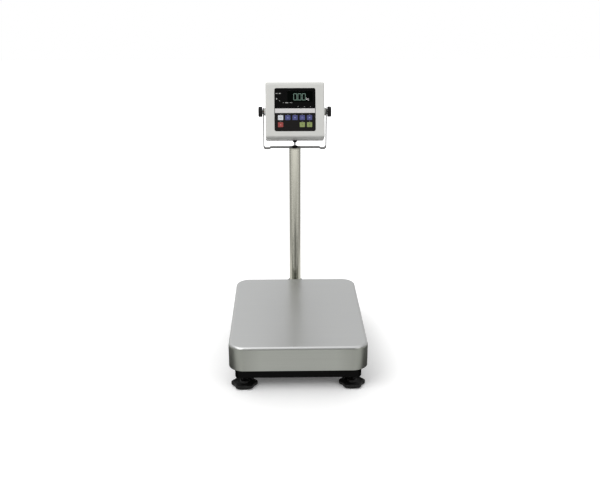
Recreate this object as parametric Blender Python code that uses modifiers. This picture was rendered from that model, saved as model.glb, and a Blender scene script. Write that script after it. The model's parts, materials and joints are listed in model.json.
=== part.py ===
"""Platform scale: a stainless weighing pan on a levelled base frame, with an indicator on a rear column.

Metres, +Z up, +X to the user's right, -Y towards the user. The origin is on the floor under the
middle of the whole scale. Pieces that touch keep a gap of 0.3 mm.
"""
import math

import bmesh
import bpy
from mathutils import Matrix, Vector

GAP = 0.0003

# Weighing pan: a drawn stainless tray, open underneath
PAN_WIDTH = 0.390
PAN_DEPTH = 0.530
PAN_TOP = 0.135
PAN_SKIRT = 0.0706
PAN_SHEET = 0.0012
PAN_CORNER = 0.032
PAN_EDGE = 0.006

# Column and indicator, as seen from the side
COLUMN_GAP = 0.065
COLUMN_RADIUS = 0.01905
COLUMN_WALL = 0.0015
TILT = math.radians(20.0)
PIVOT_HEIGHT = 0.684
HEAD_WIDTH = 0.188
HEAD_HEIGHT = 0.178
HEAD_FRONT = -0.042
HEAD_SEAM = 0.014
HEAD_REAR = 0.042
HEAD_WALL = 0.003
COVER_Y = HEAD_SEAM + 0.002
BOARD_FRONT = -0.0345
MAIN_BOARD_REAR = 0.0216
HEAD_CORNER = 0.006

# The pan's front edge and the indicator's top rear corner are the two ends of the scale's depth
HEAD_REACH = (
    (HEAD_REAR - HEAD_CORNER) * math.cos(TILT)
    + (HEAD_HEIGHT / 2 - HEAD_CORNER) * math.sin(TILT)
    + HEAD_CORNER
)
FRONT_Y = -(PAN_DEPTH + COLUMN_GAP + HEAD_REACH) / 2
PAN_Y = FRONT_Y + PAN_DEPTH / 2
COLUMN_Y = FRONT_Y + PAN_DEPTH + COLUMN_GAP

# Base frame: a ring of inverted channel with a lower cross member for the load cell
FRAME_WIDTH = 0.356
FRAME_DEPTH = 0.486
FRAME_BOTTOM = 0.0325
FRAME_TOP = 0.069
FRAME_RAIL = 0.030
FRAME_SHEET = 0.0035
FRAME_CORNER = 0.014
CROSS_FRONT = -0.100
CROSS_REAR = -0.020
CROSS_BOTTOM = 0.038
CROSS_TOP = 0.050
GUSSET = 0.050
GUSSET_BOTTOM = 0.060

# Levelling feet: lobed hand wheels on M12 studs, with a rubber sole
FOOT_X = 0.1525
FOOT_INSET = 0.0415
FOOT_RADIUS = 0.0375
FOOT_LOBES = 6
FOOT_LOBE_DEPTH = 0.006
SOLE_RADIUS = 0.0285
SOLE_HEIGHT = 0.004
WHEEL_TOP = 0.0135
STUD_RADIUS = 0.006
STUD_TOP = 0.064
BOSS_RADIUS = 0.019
BOSS_BOTTOM = 0.031

# Load cell: a single-point bending beam, its fixed end to the front
CELL_WIDTH = 0.038
CELL_LENGTH = 0.150
CELL_HEIGHT = 0.038
CELL_BOTTOM = 0.0543
CELL_BORE = 0.0125
CELL_BORE_Y = 0.024
CELL_SLOT = 0.007
CELL_BOLT_Y = (0.042, 0.062)
CELL_BOLT_RADIUS = 0.004
SPACER_LENGTH = 0.045

# Spider: the upper frame that carries the pan
SPIDER_WIDTH = 0.265
SPIDER_DEPTH = 0.400
SPIDER_BOTTOM = 0.106
SPIDER_TOP = 0.128
SPIDER_RAIL = 0.025
SPIDER_SHEET = 0.004
SPIDER_CROSS = (0.015, 0.105)
SPIDER_POCKET = 0.1105
HUB_BOTTOM = 0.0926
HUB_Y = (0.030, 0.080)
PAD_RADIUS = 0.012
STOP_X = 0.120
STOP_Y = 0.186
STOP_TOP = 0.1045
STOP_RADIUS = 0.005

# Column bracket and socket behind the pan. Places here are from the column's axis
COLUMN_AT = (0, COLUMN_Y, 0)
FRAME_REAR = -(COLUMN_GAP + (PAN_DEPTH - FRAME_DEPTH) / 2)
BRACKET_WIDTH = 0.076
BRACKET_FLANGE = 0.120
BRACKET_BOTTOM = 0.034
BRACKET_SHEET = 0.005
BRACKET_SIDE_TOP = 0.061
LEVEL_AT = (0.050, -0.012)
SOCKET_RADIUS = 0.0245
SOCKET_FLANGE = 0.033
SOCKET_TOP = 0.106
CLAMP_HEIGHT = 0.088
CABLE_RADIUS = 0.0025
CABLE_HEIGHT = 0.054

# Tilt bracket: a strip bent to a U, which carries the indicator between its legs
STRIP_WIDTH = 0.028
STRIP_SHEET = 0.0025
LEG_X = 0.101
WEB_TOP = 0.570
WEB_DROP = 0.0035
BEND_RADIUS = 0.008
LEG_TOP = PIVOT_HEIGHT + 0.014
PLUG_TOP = WEB_TOP - STRIP_SHEET - GAP
PLUG_RIM = 0.003
GROMMET_TOP = WEB_TOP + 0.004

# Clamp knobs on the tilt axis
KNOB_RADIUS = 0.0165
KNOB_DEPTH = 0.0127
KNOB_FLUTES = 10
M6_RADIUS = 0.003
HOLE_RADIUS = 0.0033

# Front panel, in the indicator's own frame: X across, Z up its face
OVERLAY_WIDTH = 0.130
OVERLAY_LOW = -0.0695
OVERLAY_HIGH = 0.0675
OVERLAY_CORNER = 0.006
OVERLAY_SHEET = 0.001
WINDOW_LOW = (-0.024, 0.024)
WINDOW_HIGH = (0.056, 0.058)
KEY_PITCH = 0.0229
KEY_WIDTH = 0.0165
KEY_HEIGHT = 0.0155
KEY_ROWS = (-0.0265, -0.0490)
GLAND_Y = 0.028

KEYS = {
    "key_on_off": (-2, 0, "key_white"),
    "key_blue_1": (-1, 0, "key_blue"),
    "key_blue_2": (0, 0, "key_blue"),
    "key_blue_3": (1, 0, "key_blue"),
    "key_blue_4": (2, 0, "key_blue"),
    "key_red": (-2, 1, "key_red"),
    "key_green_1": (1, 1, "key_green"),
    "key_green_2": (2, 1, "key_green"),
}

# Finishes: sRGB colour, roughness, metallic
FINISHES = {
    "brushed_stainless": ("b9bab9", 0.34, 1.0),
    "polished_stainless": ("c4c4c1", 0.16, 1.0),
    "zinc_plated_steel": ("a9aaa8", 0.38, 1.0),
    "aluminium": ("b3b6b9", 0.40, 1.0),
    "black_painted_steel": ("161717", 0.45, 0.0),
    "black_nylon": ("141414", 0.50, 0.0),
    "black_rubber": ("1a1a1a", 0.80, 0.0),
    "light_grey_housing": ("d0d1cb", 0.42, 0.0),
    "grey_acetal": ("b4b5b0", 0.45, 0.0),
    "overlay_black": ("0b0b0c", 0.25, 0.0),
    "smoked_window": ("101314", 0.08, 0.0),
    "circuit_board": ("1f4a33", 0.50, 0.0),
    "display_glass": ("1b2321", 0.15, 0.0),
    "level_vial": ("c9d66a", 0.10, 0.0),
    "cable_grey": ("3a3b3b", 0.55, 0.0),
    "key_white": ("d9dbe2", 0.35, 0.0),
    "key_blue": ("3f4796", 0.35, 0.0),
    "key_red": ("b0302b", 0.35, 0.0),
    "key_green": ("8fa83c", 0.35, 0.0),
}

AXES = {"X": 0, "Y": 1, "Z": 2}


def clear_scene():
    for obj in list(bpy.data.objects):
        bpy.data.objects.remove(obj)


def new_collection(name):
    group = bpy.data.collections.new(name)
    bpy.context.scene.collection.children.link(group)
    return group


def linear(channel):
    """One sRGB channel, 0 to 1, as linear light."""
    if channel <= 0.04045:
        return channel / 12.92
    return ((channel + 0.055) / 1.055) ** 2.4


def make_finish(name):
    colour, roughness, metallic = FINISHES[name]
    finish = bpy.data.materials.new(name)
    finish.use_nodes = True
    shader = finish.node_tree.nodes["Principled BSDF"]
    rgb = [linear(int(colour[i : i + 2], 16) / 255) for i in (0, 2, 4)]
    shader.inputs["Base Color"].default_value = (*rgb, 1.0)
    shader.inputs["Roughness"].default_value = roughness
    shader.inputs["Metallic"].default_value = metallic
    return finish


clear_scene()
PARTS = new_collection("platform_scale")
CUTTERS = new_collection("cutters")
FINISH = {name: make_finish(name) for name in FINISHES}


def empty(name, at, turn=(0, 0, 0), parent=None):
    """A frame that pieces are parented to."""
    axis = bpy.data.objects.new(name, None)
    axis.location = at
    axis.rotation_euler = turn
    axis.parent = parent
    PARTS.objects.link(axis)
    return axis


def place(mesh, name, finish, at=(0, 0, 0), parent=None):
    obj = bpy.data.objects.new(name, mesh)
    obj.location = at
    obj.parent = parent
    mesh.materials.append(FINISH[finish])
    PARTS.objects.link(obj)
    return obj


def piece(bm, name, finish, at=(0, 0, 0), parent=None):
    """Turns a bmesh into a named object."""
    mesh = bpy.data.meshes.new(name)
    bm.to_mesh(mesh)
    bm.free()
    mesh.shade_smooth()
    mesh.set_sharp_from_angle(angle=math.radians(35))
    return place(mesh, name, finish, at, parent)


def boolean(target, bm, operation):
    """Cuts a shape from a piece or joins it on. The shape is given in the piece's own frame."""
    mesh = bpy.data.meshes.new(f"{target.name}_{operation.lower()}")
    bm.to_mesh(mesh)
    bm.free()
    tool = bpy.data.objects.new(mesh.name, mesh)
    tool.location = target.location
    tool.rotation_euler = target.rotation_euler
    tool.parent = target.parent
    tool.hide_render = True
    tool.display_type = "WIRE"
    CUTTERS.objects.link(tool)
    modifier = target.modifiers.new(operation.title(), "BOOLEAN")
    modifier.operation = operation
    modifier.solver = "EXACT"
    modifier.object = tool


def cut(target, bm):
    boolean(target, bm, "DIFFERENCE")


def join(target, bm):
    boolean(target, bm, "UNION")


def solidify(target, thickness, offset=-1.0):
    shell = target.modifiers.new("Sheet", "SOLIDIFY")
    shell.thickness = thickness
    shell.offset = offset
    shell.use_even_offset = True


def round_edges(bm, edges, radius, steps):
    bmesh.ops.bevel(bm, geom=edges, offset=radius, segments=steps, profile=0.5, affect="EDGES")


def add_box(bm, low, high, radius=0.0, along="Z", steps=5, pick=None):
    """A box between two corners. Its edges along one axis may be rounded, or those that pick accepts."""
    low, high = Vector(low), Vector(high)
    made = bmesh.ops.create_cube(bm, size=1.0)["verts"]
    for vert in made:
        vert.co = [
            low[i] + (vert.co[i] + 0.5) * (high[i] - low[i]) for i in range(3)
        ]
    if radius:
        edges = {e for v in made for e in v.link_edges}
        others = [i for i in range(3) if i != AXES[along]]
        long_edges = [
            e
            for e in edges
            if all(abs(e.verts[0].co[i] - e.verts[1].co[i]) < 1e-7 for i in others)
            and (pick is None or pick(e.verts[0].co))
        ]
        round_edges(bm, long_edges, radius, steps)
    return bm


def box(low, high, radius=0.0, along="Z", steps=5, pick=None):
    return add_box(bmesh.new(), low, high, radius, along, steps, pick)


def add_drum(bm, radius, low, high, at=(0, 0), along="Z", steps=24, top_radius=None):
    """A cylinder or cone from low to high along an axis, at a place on the other two axes."""
    turn = {
        "X": Matrix.Rotation(math.pi / 2, 4, "Y"),
        "Y": Matrix.Rotation(-math.pi / 2, 4, "X"),
        "Z": Matrix.Identity(4),
    }[along]
    centre = list(at)
    centre.insert(AXES[along], (low + high) / 2)
    made = bmesh.ops.create_cone(
        bm,
        cap_ends=True,
        segments=steps,
        radius1=radius,
        radius2=radius if top_radius is None else top_radius,
        depth=high - low,
        matrix=Matrix.Translation(centre) @ turn,
    )
    return made["verts"]


def drum(radius, low, high, at=(0, 0), along="Z", steps=24, top_radius=None):
    bm = bmesh.new()
    add_drum(bm, radius, low, high, at, along, steps, top_radius)
    return bm


def turned(name, profile, finish, at=(0, 0, 0), parent=None, steps=32, closed=False, turn=(0, 0, 0)):
    """A turned piece. The profile holds (radius, height) points, top to bottom down its outer side."""
    bm = bmesh.new()
    verts = [bm.verts.new((radius, 0, height)) for radius, height in profile]
    for one, other in zip(verts, verts[1:]):
        bm.edges.new((one, other))
    if closed:
        bm.edges.new((verts[-1], verts[0]))
    mesh = bpy.data.meshes.new(name)
    bm.to_mesh(mesh)
    bm.free()
    obj = place(mesh, name, finish, at, parent)
    obj.rotation_euler = turn
    screw = obj.modifiers.new("Turn", "SCREW")
    screw.steps = steps
    screw.render_steps = steps
    screw.use_merge_vertices = True
    screw.merge_threshold = 0.00001
    screw.use_smooth_shade = True
    return obj


def screw(name, spot, seat, head, tip, radii, at=(0, 0, 0), parent=None, along="Z", sides=6):
    """A screw whose head lies between seat and head, and whose shank runs to the tip."""
    head_radius, shank_radius = radii
    inside = seat + 0.0005 * (1 if head > seat else -1)
    body = piece(drum(head_radius, *sorted((seat, head)), spot, along, sides), name,
                 "zinc_plated_steel", at, parent)
    join(body, drum(shank_radius, *sorted((tip, inside)), spot, along, 12))


def drums(spots, radius, low, high, along="Z", steps=16):
    """Several like cylinders, as one cutter or one group."""
    bm = bmesh.new()
    for spot in spots:
        add_drum(bm, radius, low, high, spot, along, steps)
    return bm


def corners(x, y):
    return [(sx * x, sy * y) for sx in (-1, 1) for sy in (-1, 1)]


def head_point(x, y, z):
    """A point of the indicator's own frame, in the scale's frame."""
    return Vector((0, COLUMN_Y, PIVOT_HEIGHT)) + Matrix.Rotation(-TILT, 3, "X") @ Vector((x, y, z))


def smooth_route(route, spacing):
    """Points along a smooth curve through the route's own points."""
    points = [Vector(p) for p in route]
    ends = [2 * points[0] - points[1]] + points + [2 * points[-1] - points[-2]]
    made = []
    for before, one, other, after in zip(ends, ends[1:], ends[2:], ends[3:]):
        steps = min(6, max(1, round((other - one).length / spacing)))
        for i in range(steps):
            t = i / steps
            made.append(
                0.5
                * (
                    2 * one
                    + (other - before) * t
                    + (2 * before - 5 * one + 4 * other - after) * t**2
                    + (3 * one - before - 3 * other + after) * t**3
                )
            )
    return made + [points[-1]]


def cable(name, route, radius, finish, spacing=0.015):
    curve = bpy.data.curves.new(name, "CURVE")
    curve.dimensions = "3D"
    curve.bevel_depth = radius
    curve.bevel_resolution = 2
    curve.use_fill_caps = True
    spline = curve.splines.new("POLY")
    points = smooth_route(route, spacing)
    spline.points.add(len(points) - 1)
    for spot, point in zip(spline.points, points):
        spot.co = (*point, 1.0)
    return place(curve, name, finish)


# The base frame and the feet


def foot_spots():
    return corners(FOOT_X, PAN_DEPTH / 2 - FOOT_INSET)


def base_frame():
    """Inverted channel rails all round, a lower cross member, foot bosses and corner gussets."""
    w, d = FRAME_WIDTH / 2, FRAME_DEPTH / 2
    inner_w, inner_d = w - FRAME_RAIL, d - FRAME_RAIL
    below, above = 0.020, 0.080
    frame = piece(
        box((-w, -d, FRAME_BOTTOM), (w, d, FRAME_TOP), FRAME_CORNER, steps=4), "base_frame",
        "black_painted_steel", (0, PAN_Y, 0),
    )
    cut(frame, box((-inner_w, -inner_d, below), (inner_w, CROSS_FRONT, above)))
    cut(frame, box((-inner_w, CROSS_REAR, below), (inner_w, inner_d, above)))
    cut(frame, box((-inner_w, CROSS_FRONT - 0.01, CROSS_TOP), (inner_w, CROSS_REAR + 0.01, above)))
    cut(frame, box((-inner_w, CROSS_FRONT - 0.01, below), (inner_w, CROSS_REAR + 0.01, CROSS_BOTTOM)))
    roof = FRAME_TOP - FRAME_SHEET
    sides = bmesh.new()
    ends = bmesh.new()
    for sign in (-1, 1):
        xs = sorted((sign * (inner_w + FRAME_SHEET), sign * (w - FRAME_SHEET)))
        ys = sorted((sign * (inner_d + FRAME_SHEET), sign * (d - FRAME_SHEET)))
        add_box(sides, (xs[0], -d + FRAME_SHEET, below), (xs[1], d - FRAME_SHEET, roof), 0.010, steps=2)
        add_box(ends, (-inner_w - 0.010, ys[0], below), (inner_w + 0.010, ys[1], roof))
    cut(frame, sides)
    cut(frame, ends)
    join(frame, drums(foot_spots(), BOSS_RADIUS, BOSS_BOTTOM, FRAME_TOP - 0.001, steps=16))
    gussets = bmesh.new()
    for sx, sy in corners(1, 1):
        xs = sorted((sx * (inner_w - GUSSET), sx * (inner_w + 0.002)))
        ys = sorted((sy * (inner_d - GUSSET), sy * (inner_d + 0.002)))
        add_box(gussets, (xs[0], ys[0], GUSSET_BOTTOM), (xs[1], ys[1], FRAME_TOP - 0.0005))
    join(frame, gussets)
    stops = drums(corners(STOP_X, STOP_Y), STOP_RADIUS, FRAME_TOP - 0.002, STOP_TOP - 0.006, steps=10)
    join(frame, stops)
    join(frame, drums(corners(STOP_X, STOP_Y), STOP_RADIUS + 0.003, STOP_TOP - 0.007, STOP_TOP, steps=6))
    cut(frame, drums(foot_spots(), STUD_RADIUS + 2 * GAP, below, above, steps=12))
    cut(frame, drums([(0, -y) for y in CELL_BOLT_Y], CELL_BOLT_RADIUS + GAP, below, above, steps=12))
    cut(frame, drum(0.0045, inner_d - 0.01, d + 0.01, (0, CABLE_HEIGHT), "Y", 12))
    cut(frame, drums(bracket_bolt_spots(), HOLE_RADIUS, d - 0.010, d + 0.010, "Y", 12))
    return frame


def feet():
    """Each foot is a rubber sole and a lobed wheel on its stud. The wheel turns in the frame's boss."""
    for i, (x, y) in enumerate(foot_spots(), 1):
        at = (x, PAN_Y + y, 0)
        sole = drum(SOLE_RADIUS, 0, SOLE_HEIGHT, steps=24, top_radius=SOLE_RADIUS - 0.0015)
        piece(sole, f"foot_sole_{i}", "black_rubber", at)
        bm = bmesh.new()
        low = SOLE_HEIGHT + GAP
        verts = add_drum(bm, FOOT_RADIUS, low, WHEEL_TOP, steps=6 * FOOT_LOBES)
        for vert in verts:
            angle = math.atan2(vert.co.y, vert.co.x)
            dip = FOOT_LOBE_DEPTH * (1 - math.cos(FOOT_LOBES * angle)) / 2
            vert.co.xy *= (FOOT_RADIUS - dip) / FOOT_RADIUS
        rim = [e for e in bm.edges if all(abs(v.co.z - WHEEL_TOP) < 1e-6 for v in e.verts)]
        round_edges(bm, rim, 0.0025, 1)
        wheel = piece(bm, f"foot_wheel_{i}", "black_nylon", at)
        join(wheel, drum(0.015, WHEEL_TOP - 0.001, WHEEL_TOP + 0.004, steps=16, top_radius=0.011))
        join(wheel, drum(STUD_RADIUS, WHEEL_TOP, STUD_TOP, steps=12))


# The load cell and the spider that it carries


def load_cell():
    """The beam's two bores, joined by a slot, leave four thin places that bend under load."""
    w, length = CELL_WIDTH / 2, CELL_LENGTH / 2
    top = CELL_BOTTOM + CELL_HEIGHT
    middle = CELL_BOTTOM + CELL_HEIGHT / 2
    cell = piece(
        box((-w, -length, CELL_BOTTOM), (w, length, top), 0.0015, "Y", 2), "load_cell",
        "aluminium", (0, PAN_Y, 0),
    )
    cut(cell, drums([(-CELL_BORE_Y, middle), (CELL_BORE_Y, middle)], CELL_BORE, -0.03, 0.03, "X", 24))
    slot = box((-0.03, -CELL_BORE_Y, middle - CELL_SLOT / 2), (0.03, CELL_BORE_Y, middle + CELL_SLOT / 2))
    cut(cell, slot)
    hole = CELL_BOLT_RADIUS + GAP
    cut(cell, drums([(0, -y) for y in CELL_BOLT_Y], hole, 0.040, CELL_BOTTOM + 0.027, steps=12))
    cut(cell, drums([(0, y) for y in CELL_BOLT_Y], hole, top - 0.027, 0.110, steps=12))


def cell_fixings():
    """A spacer under the fixed end, and two bolts through each end."""
    top = CELL_BOTTOM + CELL_HEIGHT
    at = (0, PAN_Y, 0)
    w, end = CELL_WIDTH / 2, -CELL_LENGTH / 2
    spacer = box((-w, end, CROSS_TOP + GAP), (w, end + SPACER_LENGTH, CELL_BOTTOM - GAP))
    spacer = piece(spacer, "cell_spacer", "zinc_plated_steel", at)
    cut(spacer, drums([(0, -y) for y in CELL_BOLT_Y], CELL_BOLT_RADIUS + GAP, 0.04, 0.06, steps=12))
    for i, y in enumerate(CELL_BOLT_Y, 1):
        seat = CROSS_BOTTOM - GAP
        screw(f"cell_base_bolt_{i}", (0, -y), seat, seat - 0.005, CELL_BOTTOM + 0.024,
              (0.0072, CELL_BOLT_RADIUS), at)
        seat = SPIDER_POCKET + GAP
        screw(f"cell_top_bolt_{i}", (0, y), seat, seat + 0.005, top - 0.024,
              (0.0072, CELL_BOLT_RADIUS), at)


def spider():
    """A rounded frame with a cross member over the load cell's free end."""
    w, d = SPIDER_WIDTH / 2, SPIDER_DEPTH / 2
    inner_w, inner_d = w - SPIDER_RAIL, d - SPIDER_RAIL
    below, above = 0.080, 0.140
    frame = piece(
        box((-w, -d, SPIDER_BOTTOM), (w, d, SPIDER_TOP), 0.018), "spider",
        "black_painted_steel", (0, PAN_Y, 0),
    )
    cut(frame, box((-inner_w, -inner_d, below), (inner_w, SPIDER_CROSS[0], above), 0.012))
    cut(frame, box((-inner_w, SPIDER_CROSS[1], below), (inner_w, inner_d, above), 0.012))
    roof = SPIDER_TOP - SPIDER_SHEET
    channels = bmesh.new()
    for sign in (-1, 1):
        xs = sorted((sign * (inner_w + SPIDER_SHEET), sign * (w - SPIDER_SHEET)))
        ys = sorted((sign * (inner_d + SPIDER_SHEET), sign * (d - SPIDER_SHEET)))
        add_box(channels, (xs[0], -0.160, below), (xs[1], 0.160, roof))
        add_box(channels, (-0.095, ys[0], below), (0.095, ys[1], roof))
    cut(frame, channels)
    join(frame, box((-0.030, HUB_Y[0], HUB_BOTTOM), (0.030, HUB_Y[1], SPIDER_BOTTOM + 0.001)))
    cut(frame, box((-0.020, 0.028, SPIDER_POCKET), (0.020, 0.076, above), 0.006))
    cut(frame, drums([(0, y) for y in CELL_BOLT_Y], CELL_BOLT_RADIUS + GAP, below, above, steps=12))


def pan_pads():
    for i, (x, y) in enumerate(corners(STOP_X, STOP_Y), 1):
        pad = drum(PAD_RADIUS, SPIDER_TOP + GAP, PAN_TOP - PAN_SHEET - GAP, steps=20)
        piece(pad, f"pan_pad_{i}", "black_rubber", (x, PAN_Y + y, 0))


def pan():
    """The drawn tray: round corners, a round top edge and an open underside, in one thickness."""
    w, d = PAN_WIDTH / 2, PAN_DEPTH / 2
    bm = box((-w, -d, -PAN_SKIRT), (w, d, 0), PAN_CORNER, steps=6)
    top_rim = [e for e in bm.edges if all(abs(v.co.z) < 1e-6 for v in e.verts)]
    round_edges(bm, top_rim, PAN_EDGE, 3)
    floor = [f for f in bm.faces if all(abs(v.co.z + PAN_SKIRT) < 1e-6 for v in f.verts)]
    bmesh.ops.delete(bm, geom=floor, context="FACES_ONLY")
    solidify(piece(bm, "pan", "brushed_stainless", (0, PAN_Y, PAN_TOP)), PAN_SHEET)


# The column and what carries it


def bracket_bolt_spots():
    """Two bolts through the frame's rear rail, as X and Z."""
    return [(-0.048, 0.0505), (0.048, 0.0505)]


def column_bracket():
    """A pressed tray with a flange that bolts to the frame, and a tab for the level."""
    w = BRACKET_WIDTH / 2
    near = FRAME_REAR + GAP
    floor = BRACKET_BOTTOM + BRACKET_SHEET
    bracket = piece(
        box((-w, near, BRACKET_BOTTOM), (w, w, BRACKET_SIDE_TOP), 0.036, steps=8, pick=lambda co: co.y > 0),
        "column_bracket", "black_painted_steel", COLUMN_AT,
    )
    inner = w - 0.004
    cut(bracket, box((-inner, near + 0.004, floor), (inner, inner, 0.09), 0.032, steps=8,
                     pick=lambda co: co.y > 0))
    half = BRACKET_FLANGE / 2
    join(bracket, box((-half, near, BRACKET_BOTTOM + 0.0005), (half, near + 0.0042, 0.067), 0.006, "Y", 3))
    join(bracket, box((w - 0.002, LEVEL_AT[1] - 0.012, BRACKET_SIDE_TOP - 0.0035),
                      (w + 0.025, LEVEL_AT[1] + 0.012, BRACKET_SIDE_TOP - 0.0005), 0.005,
                      pick=lambda co: co.x > w))
    cut(bracket, drums(bracket_bolt_spots(), HOLE_RADIUS, near - 0.01, near + 0.01, "Y", 12))
    cut(bracket, drum(0.0045, near - 0.01, near + 0.01, (0, CABLE_HEIGHT), "Y", 12))


def bracket_bolts():
    seat = FRAME_REAR + GAP + 0.0042 + GAP
    for side, spot in zip(("left", "right"), bracket_bolt_spots()):
        screw(f"bracket_bolt_{side}", spot, seat, seat + 0.004, FRAME_REAR - 0.008,
              (0.0062, 0.003), COLUMN_AT, along="Y")


def column_socket():
    """A turned socket on a round flange. The cable enters at the front, a screw clamps at the back."""
    bore = COLUMN_RADIUS + GAP
    foot = BRACKET_BOTTOM + BRACKET_SHEET + GAP
    profile = [
        (SOCKET_RADIUS - 0.0015, SOCKET_TOP),
        (SOCKET_RADIUS, SOCKET_TOP - 0.0015),
        (SOCKET_RADIUS, foot + 0.006),
        (SOCKET_FLANGE, foot + 0.006),
        (SOCKET_FLANGE, foot),
        (bore, foot),
        (bore, SOCKET_TOP),
    ]
    socket = turned("column_socket", profile, "black_painted_steel", COLUMN_AT, steps=28, closed=True)
    cut(socket, drum(0.0045, -0.035, 0.0, (0, CABLE_HEIGHT), "Y", 12))
    cut(socket, drum(0.0043, 0.0, 0.035, (0, CLAMP_HEIGHT), "Y", 12))
    screw("column_clamp_screw", (0, CLAMP_HEIGHT), SOCKET_RADIUS + GAP, SOCKET_RADIUS + 0.0075,
          COLUMN_RADIUS + GAP, (0.0065, 0.004), COLUMN_AT, along="Y", sides=16)


def column_tube():
    foot = BRACKET_BOTTOM + BRACKET_SHEET + 2 * GAP
    top = PLUG_TOP - PLUG_RIM - GAP
    inner = COLUMN_RADIUS - COLUMN_WALL
    profile = [(COLUMN_RADIUS, top), (COLUMN_RADIUS, foot), (inner, foot), (inner, top)]
    tube = turned("column_tube", profile, "polished_stainless", COLUMN_AT, steps=28, closed=True)
    cut(tube, drum(0.0045, -0.035, 0.0, (0, CABLE_HEIGHT), "Y", 12))


def column_plug():
    """Closes the tube's top. Its bore passes the cable, and the tilt bracket is screwed to it."""
    fit = COLUMN_RADIUS - COLUMN_WALL - GAP
    profile = [
        (COLUMN_RADIUS, PLUG_TOP),
        (COLUMN_RADIUS, PLUG_TOP - PLUG_RIM),
        (fit, PLUG_TOP - PLUG_RIM),
        (fit, PLUG_TOP - 0.026),
        (0.0070, PLUG_TOP - 0.026),
        (0.0070, PLUG_TOP),
    ]
    plug = turned("column_plug", profile, "polished_stainless", COLUMN_AT, steps=28, closed=True)
    cut(plug, drums([(-0.0137, 0), (0.0137, 0)], 0.0021, PLUG_TOP - 0.018, PLUG_TOP + 0.01, steps=12))


def tilt_bracket():
    """A bent strip: the web steps down before it turns up into the two legs."""
    middle = WEB_TOP - STRIP_SHEET / 2
    low = middle - WEB_DROP
    path = [(0, middle), (0.078, middle), (0.084, low), (LEG_X - BEND_RADIUS, low)]
    for i in range(1, 7):
        angle = math.radians(15 * i)
        path.append((LEG_X - BEND_RADIUS + BEND_RADIUS * math.sin(angle),
                     low + BEND_RADIUS * (1 - math.cos(angle))))
    path.append((LEG_X, LEG_TOP))
    bm = bmesh.new()
    rows = [[bm.verts.new((x, y, z)) for x, z in path] for y in (-STRIP_WIDTH / 2, STRIP_WIDTH / 2)]
    for i in range(len(path) - 1):
        bm.faces.new((rows[0][i], rows[0][i + 1], rows[1][i + 1], rows[1][i]))
    tips = [rows[0][-1], rows[1][-1]]
    bmesh.ops.bevel(bm, geom=tips, offset=0.0135, segments=6, profile=0.5, affect="VERTICES")
    bracket = piece(bm, "tilt_bracket", "polished_stainless", COLUMN_AT)
    other_half = bracket.modifiers.new("Other half", "MIRROR")
    other_half.merge_threshold = 0.00001
    solidify(bracket, STRIP_SHEET, 0.0)
    cut(bracket, drum(HOLE_RADIUS, -0.12, 0.12, (0, PIVOT_HEIGHT), "X", 16))
    cut(bracket, drum(0.0073, 0.55, 0.60, (0, 0), steps=24))
    cut(bracket, drums([(-0.0137, 0), (0.0137, 0)], 0.0023, 0.55, 0.60, steps=12))
    for side, x in (("left", -0.0137), ("right", 0.0137)):
        screw(f"tilt_bracket_screw_{side}", (x, 0), WEB_TOP + GAP, WEB_TOP + 0.0022,
              PLUG_TOP - 0.015, (0.0032, 0.0018), COLUMN_AT, sides=12)


def cable_grommet():
    bore = CABLE_RADIUS + GAP
    profile = [
        (0.0055, GROMMET_TOP),
        (0.0090, GROMMET_TOP - 0.0015),
        (0.0100, WEB_TOP + GAP),
        (0.0066, WEB_TOP + GAP),
        (0.0062, PLUG_TOP - 0.008),
        (bore, PLUG_TOP - 0.008),
        (bore, GROMMET_TOP),
    ]
    turned("cable_grommet", profile, "black_rubber", COLUMN_AT, steps=20, closed=True)


def level():
    """A round bubble level on the bracket's tab."""
    x, y = LEVEL_AT
    at = (x, COLUMN_Y + y, BRACKET_SIDE_TOP - 0.0005 + GAP)
    profile = [(0.0095, 0.008), (0.0100, 0.0075), (0.0100, 0.0), (0.0075, 0.0), (0.0075, 0.008)]
    turned("level_housing", profile, "black_nylon", at, steps=20, closed=True)
    vial = drum(0.0075 - GAP, 0, 0.0068, steps=24, top_radius=0.0068)
    piece(vial, "level_vial", "level_vial", at)


def cables():
    """The load cell's cable runs through the rear rail and up the column to the indicator."""
    run = [
        (0.0194, -0.060, 0.0733),
        (0.0250, -0.060, 0.0733),
        (0.0310, -0.052, 0.0715),
        (0.0330, -0.035, 0.0660),
        (0.0310, -0.005, 0.0575),
        (0.0300, 0.080, 0.0550),
        (0.0180, 0.140, 0.0540),
        (0.0040, 0.182, 0.0540),
        (0, 0.208, CABLE_HEIGHT),
        (0, 0.250, CABLE_HEIGHT),
        (0, 0.300, CABLE_HEIGHT),
        (0, 0.3140, 0.0550),
        (0, 0.3260, 0.0640),
        (0, 0.3300, 0.0820),
        (0, 0.3300, 0.2000),
        (0, 0.3300, GROMMET_TOP),
    ]
    cable("load_cell_cable", [(x, PAN_Y + y, z) for x, y, z in run], CABLE_RADIUS, "cable_grey", 0.018)
    neck = [
        (0, COLUMN_Y, GROMMET_TOP + GAP),
        (0, COLUMN_Y - 0.0003, GROMMET_TOP + 0.0025),
        head_point(0, GLAND_Y, -0.0965),
        head_point(0, GLAND_Y, -0.0940),
        head_point(0, GLAND_Y, -0.0850),
    ]
    cable("cable_neck", neck, CABLE_RADIUS, "cable_grey", 0.0015)


# The indicator


HEAD = empty("head_axis", (0, COLUMN_Y, PIVOT_HEIGHT), (-TILT, 0, 0))
COVER_SCREWS = corners(0.082, 0.072)
BOARD_PINS = corners(0.066, 0.067)
MAIN_BOARD_PINS = [(x, z) for x in (-0.054, 0.054) for z in (-0.034, 0.056)]


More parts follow.
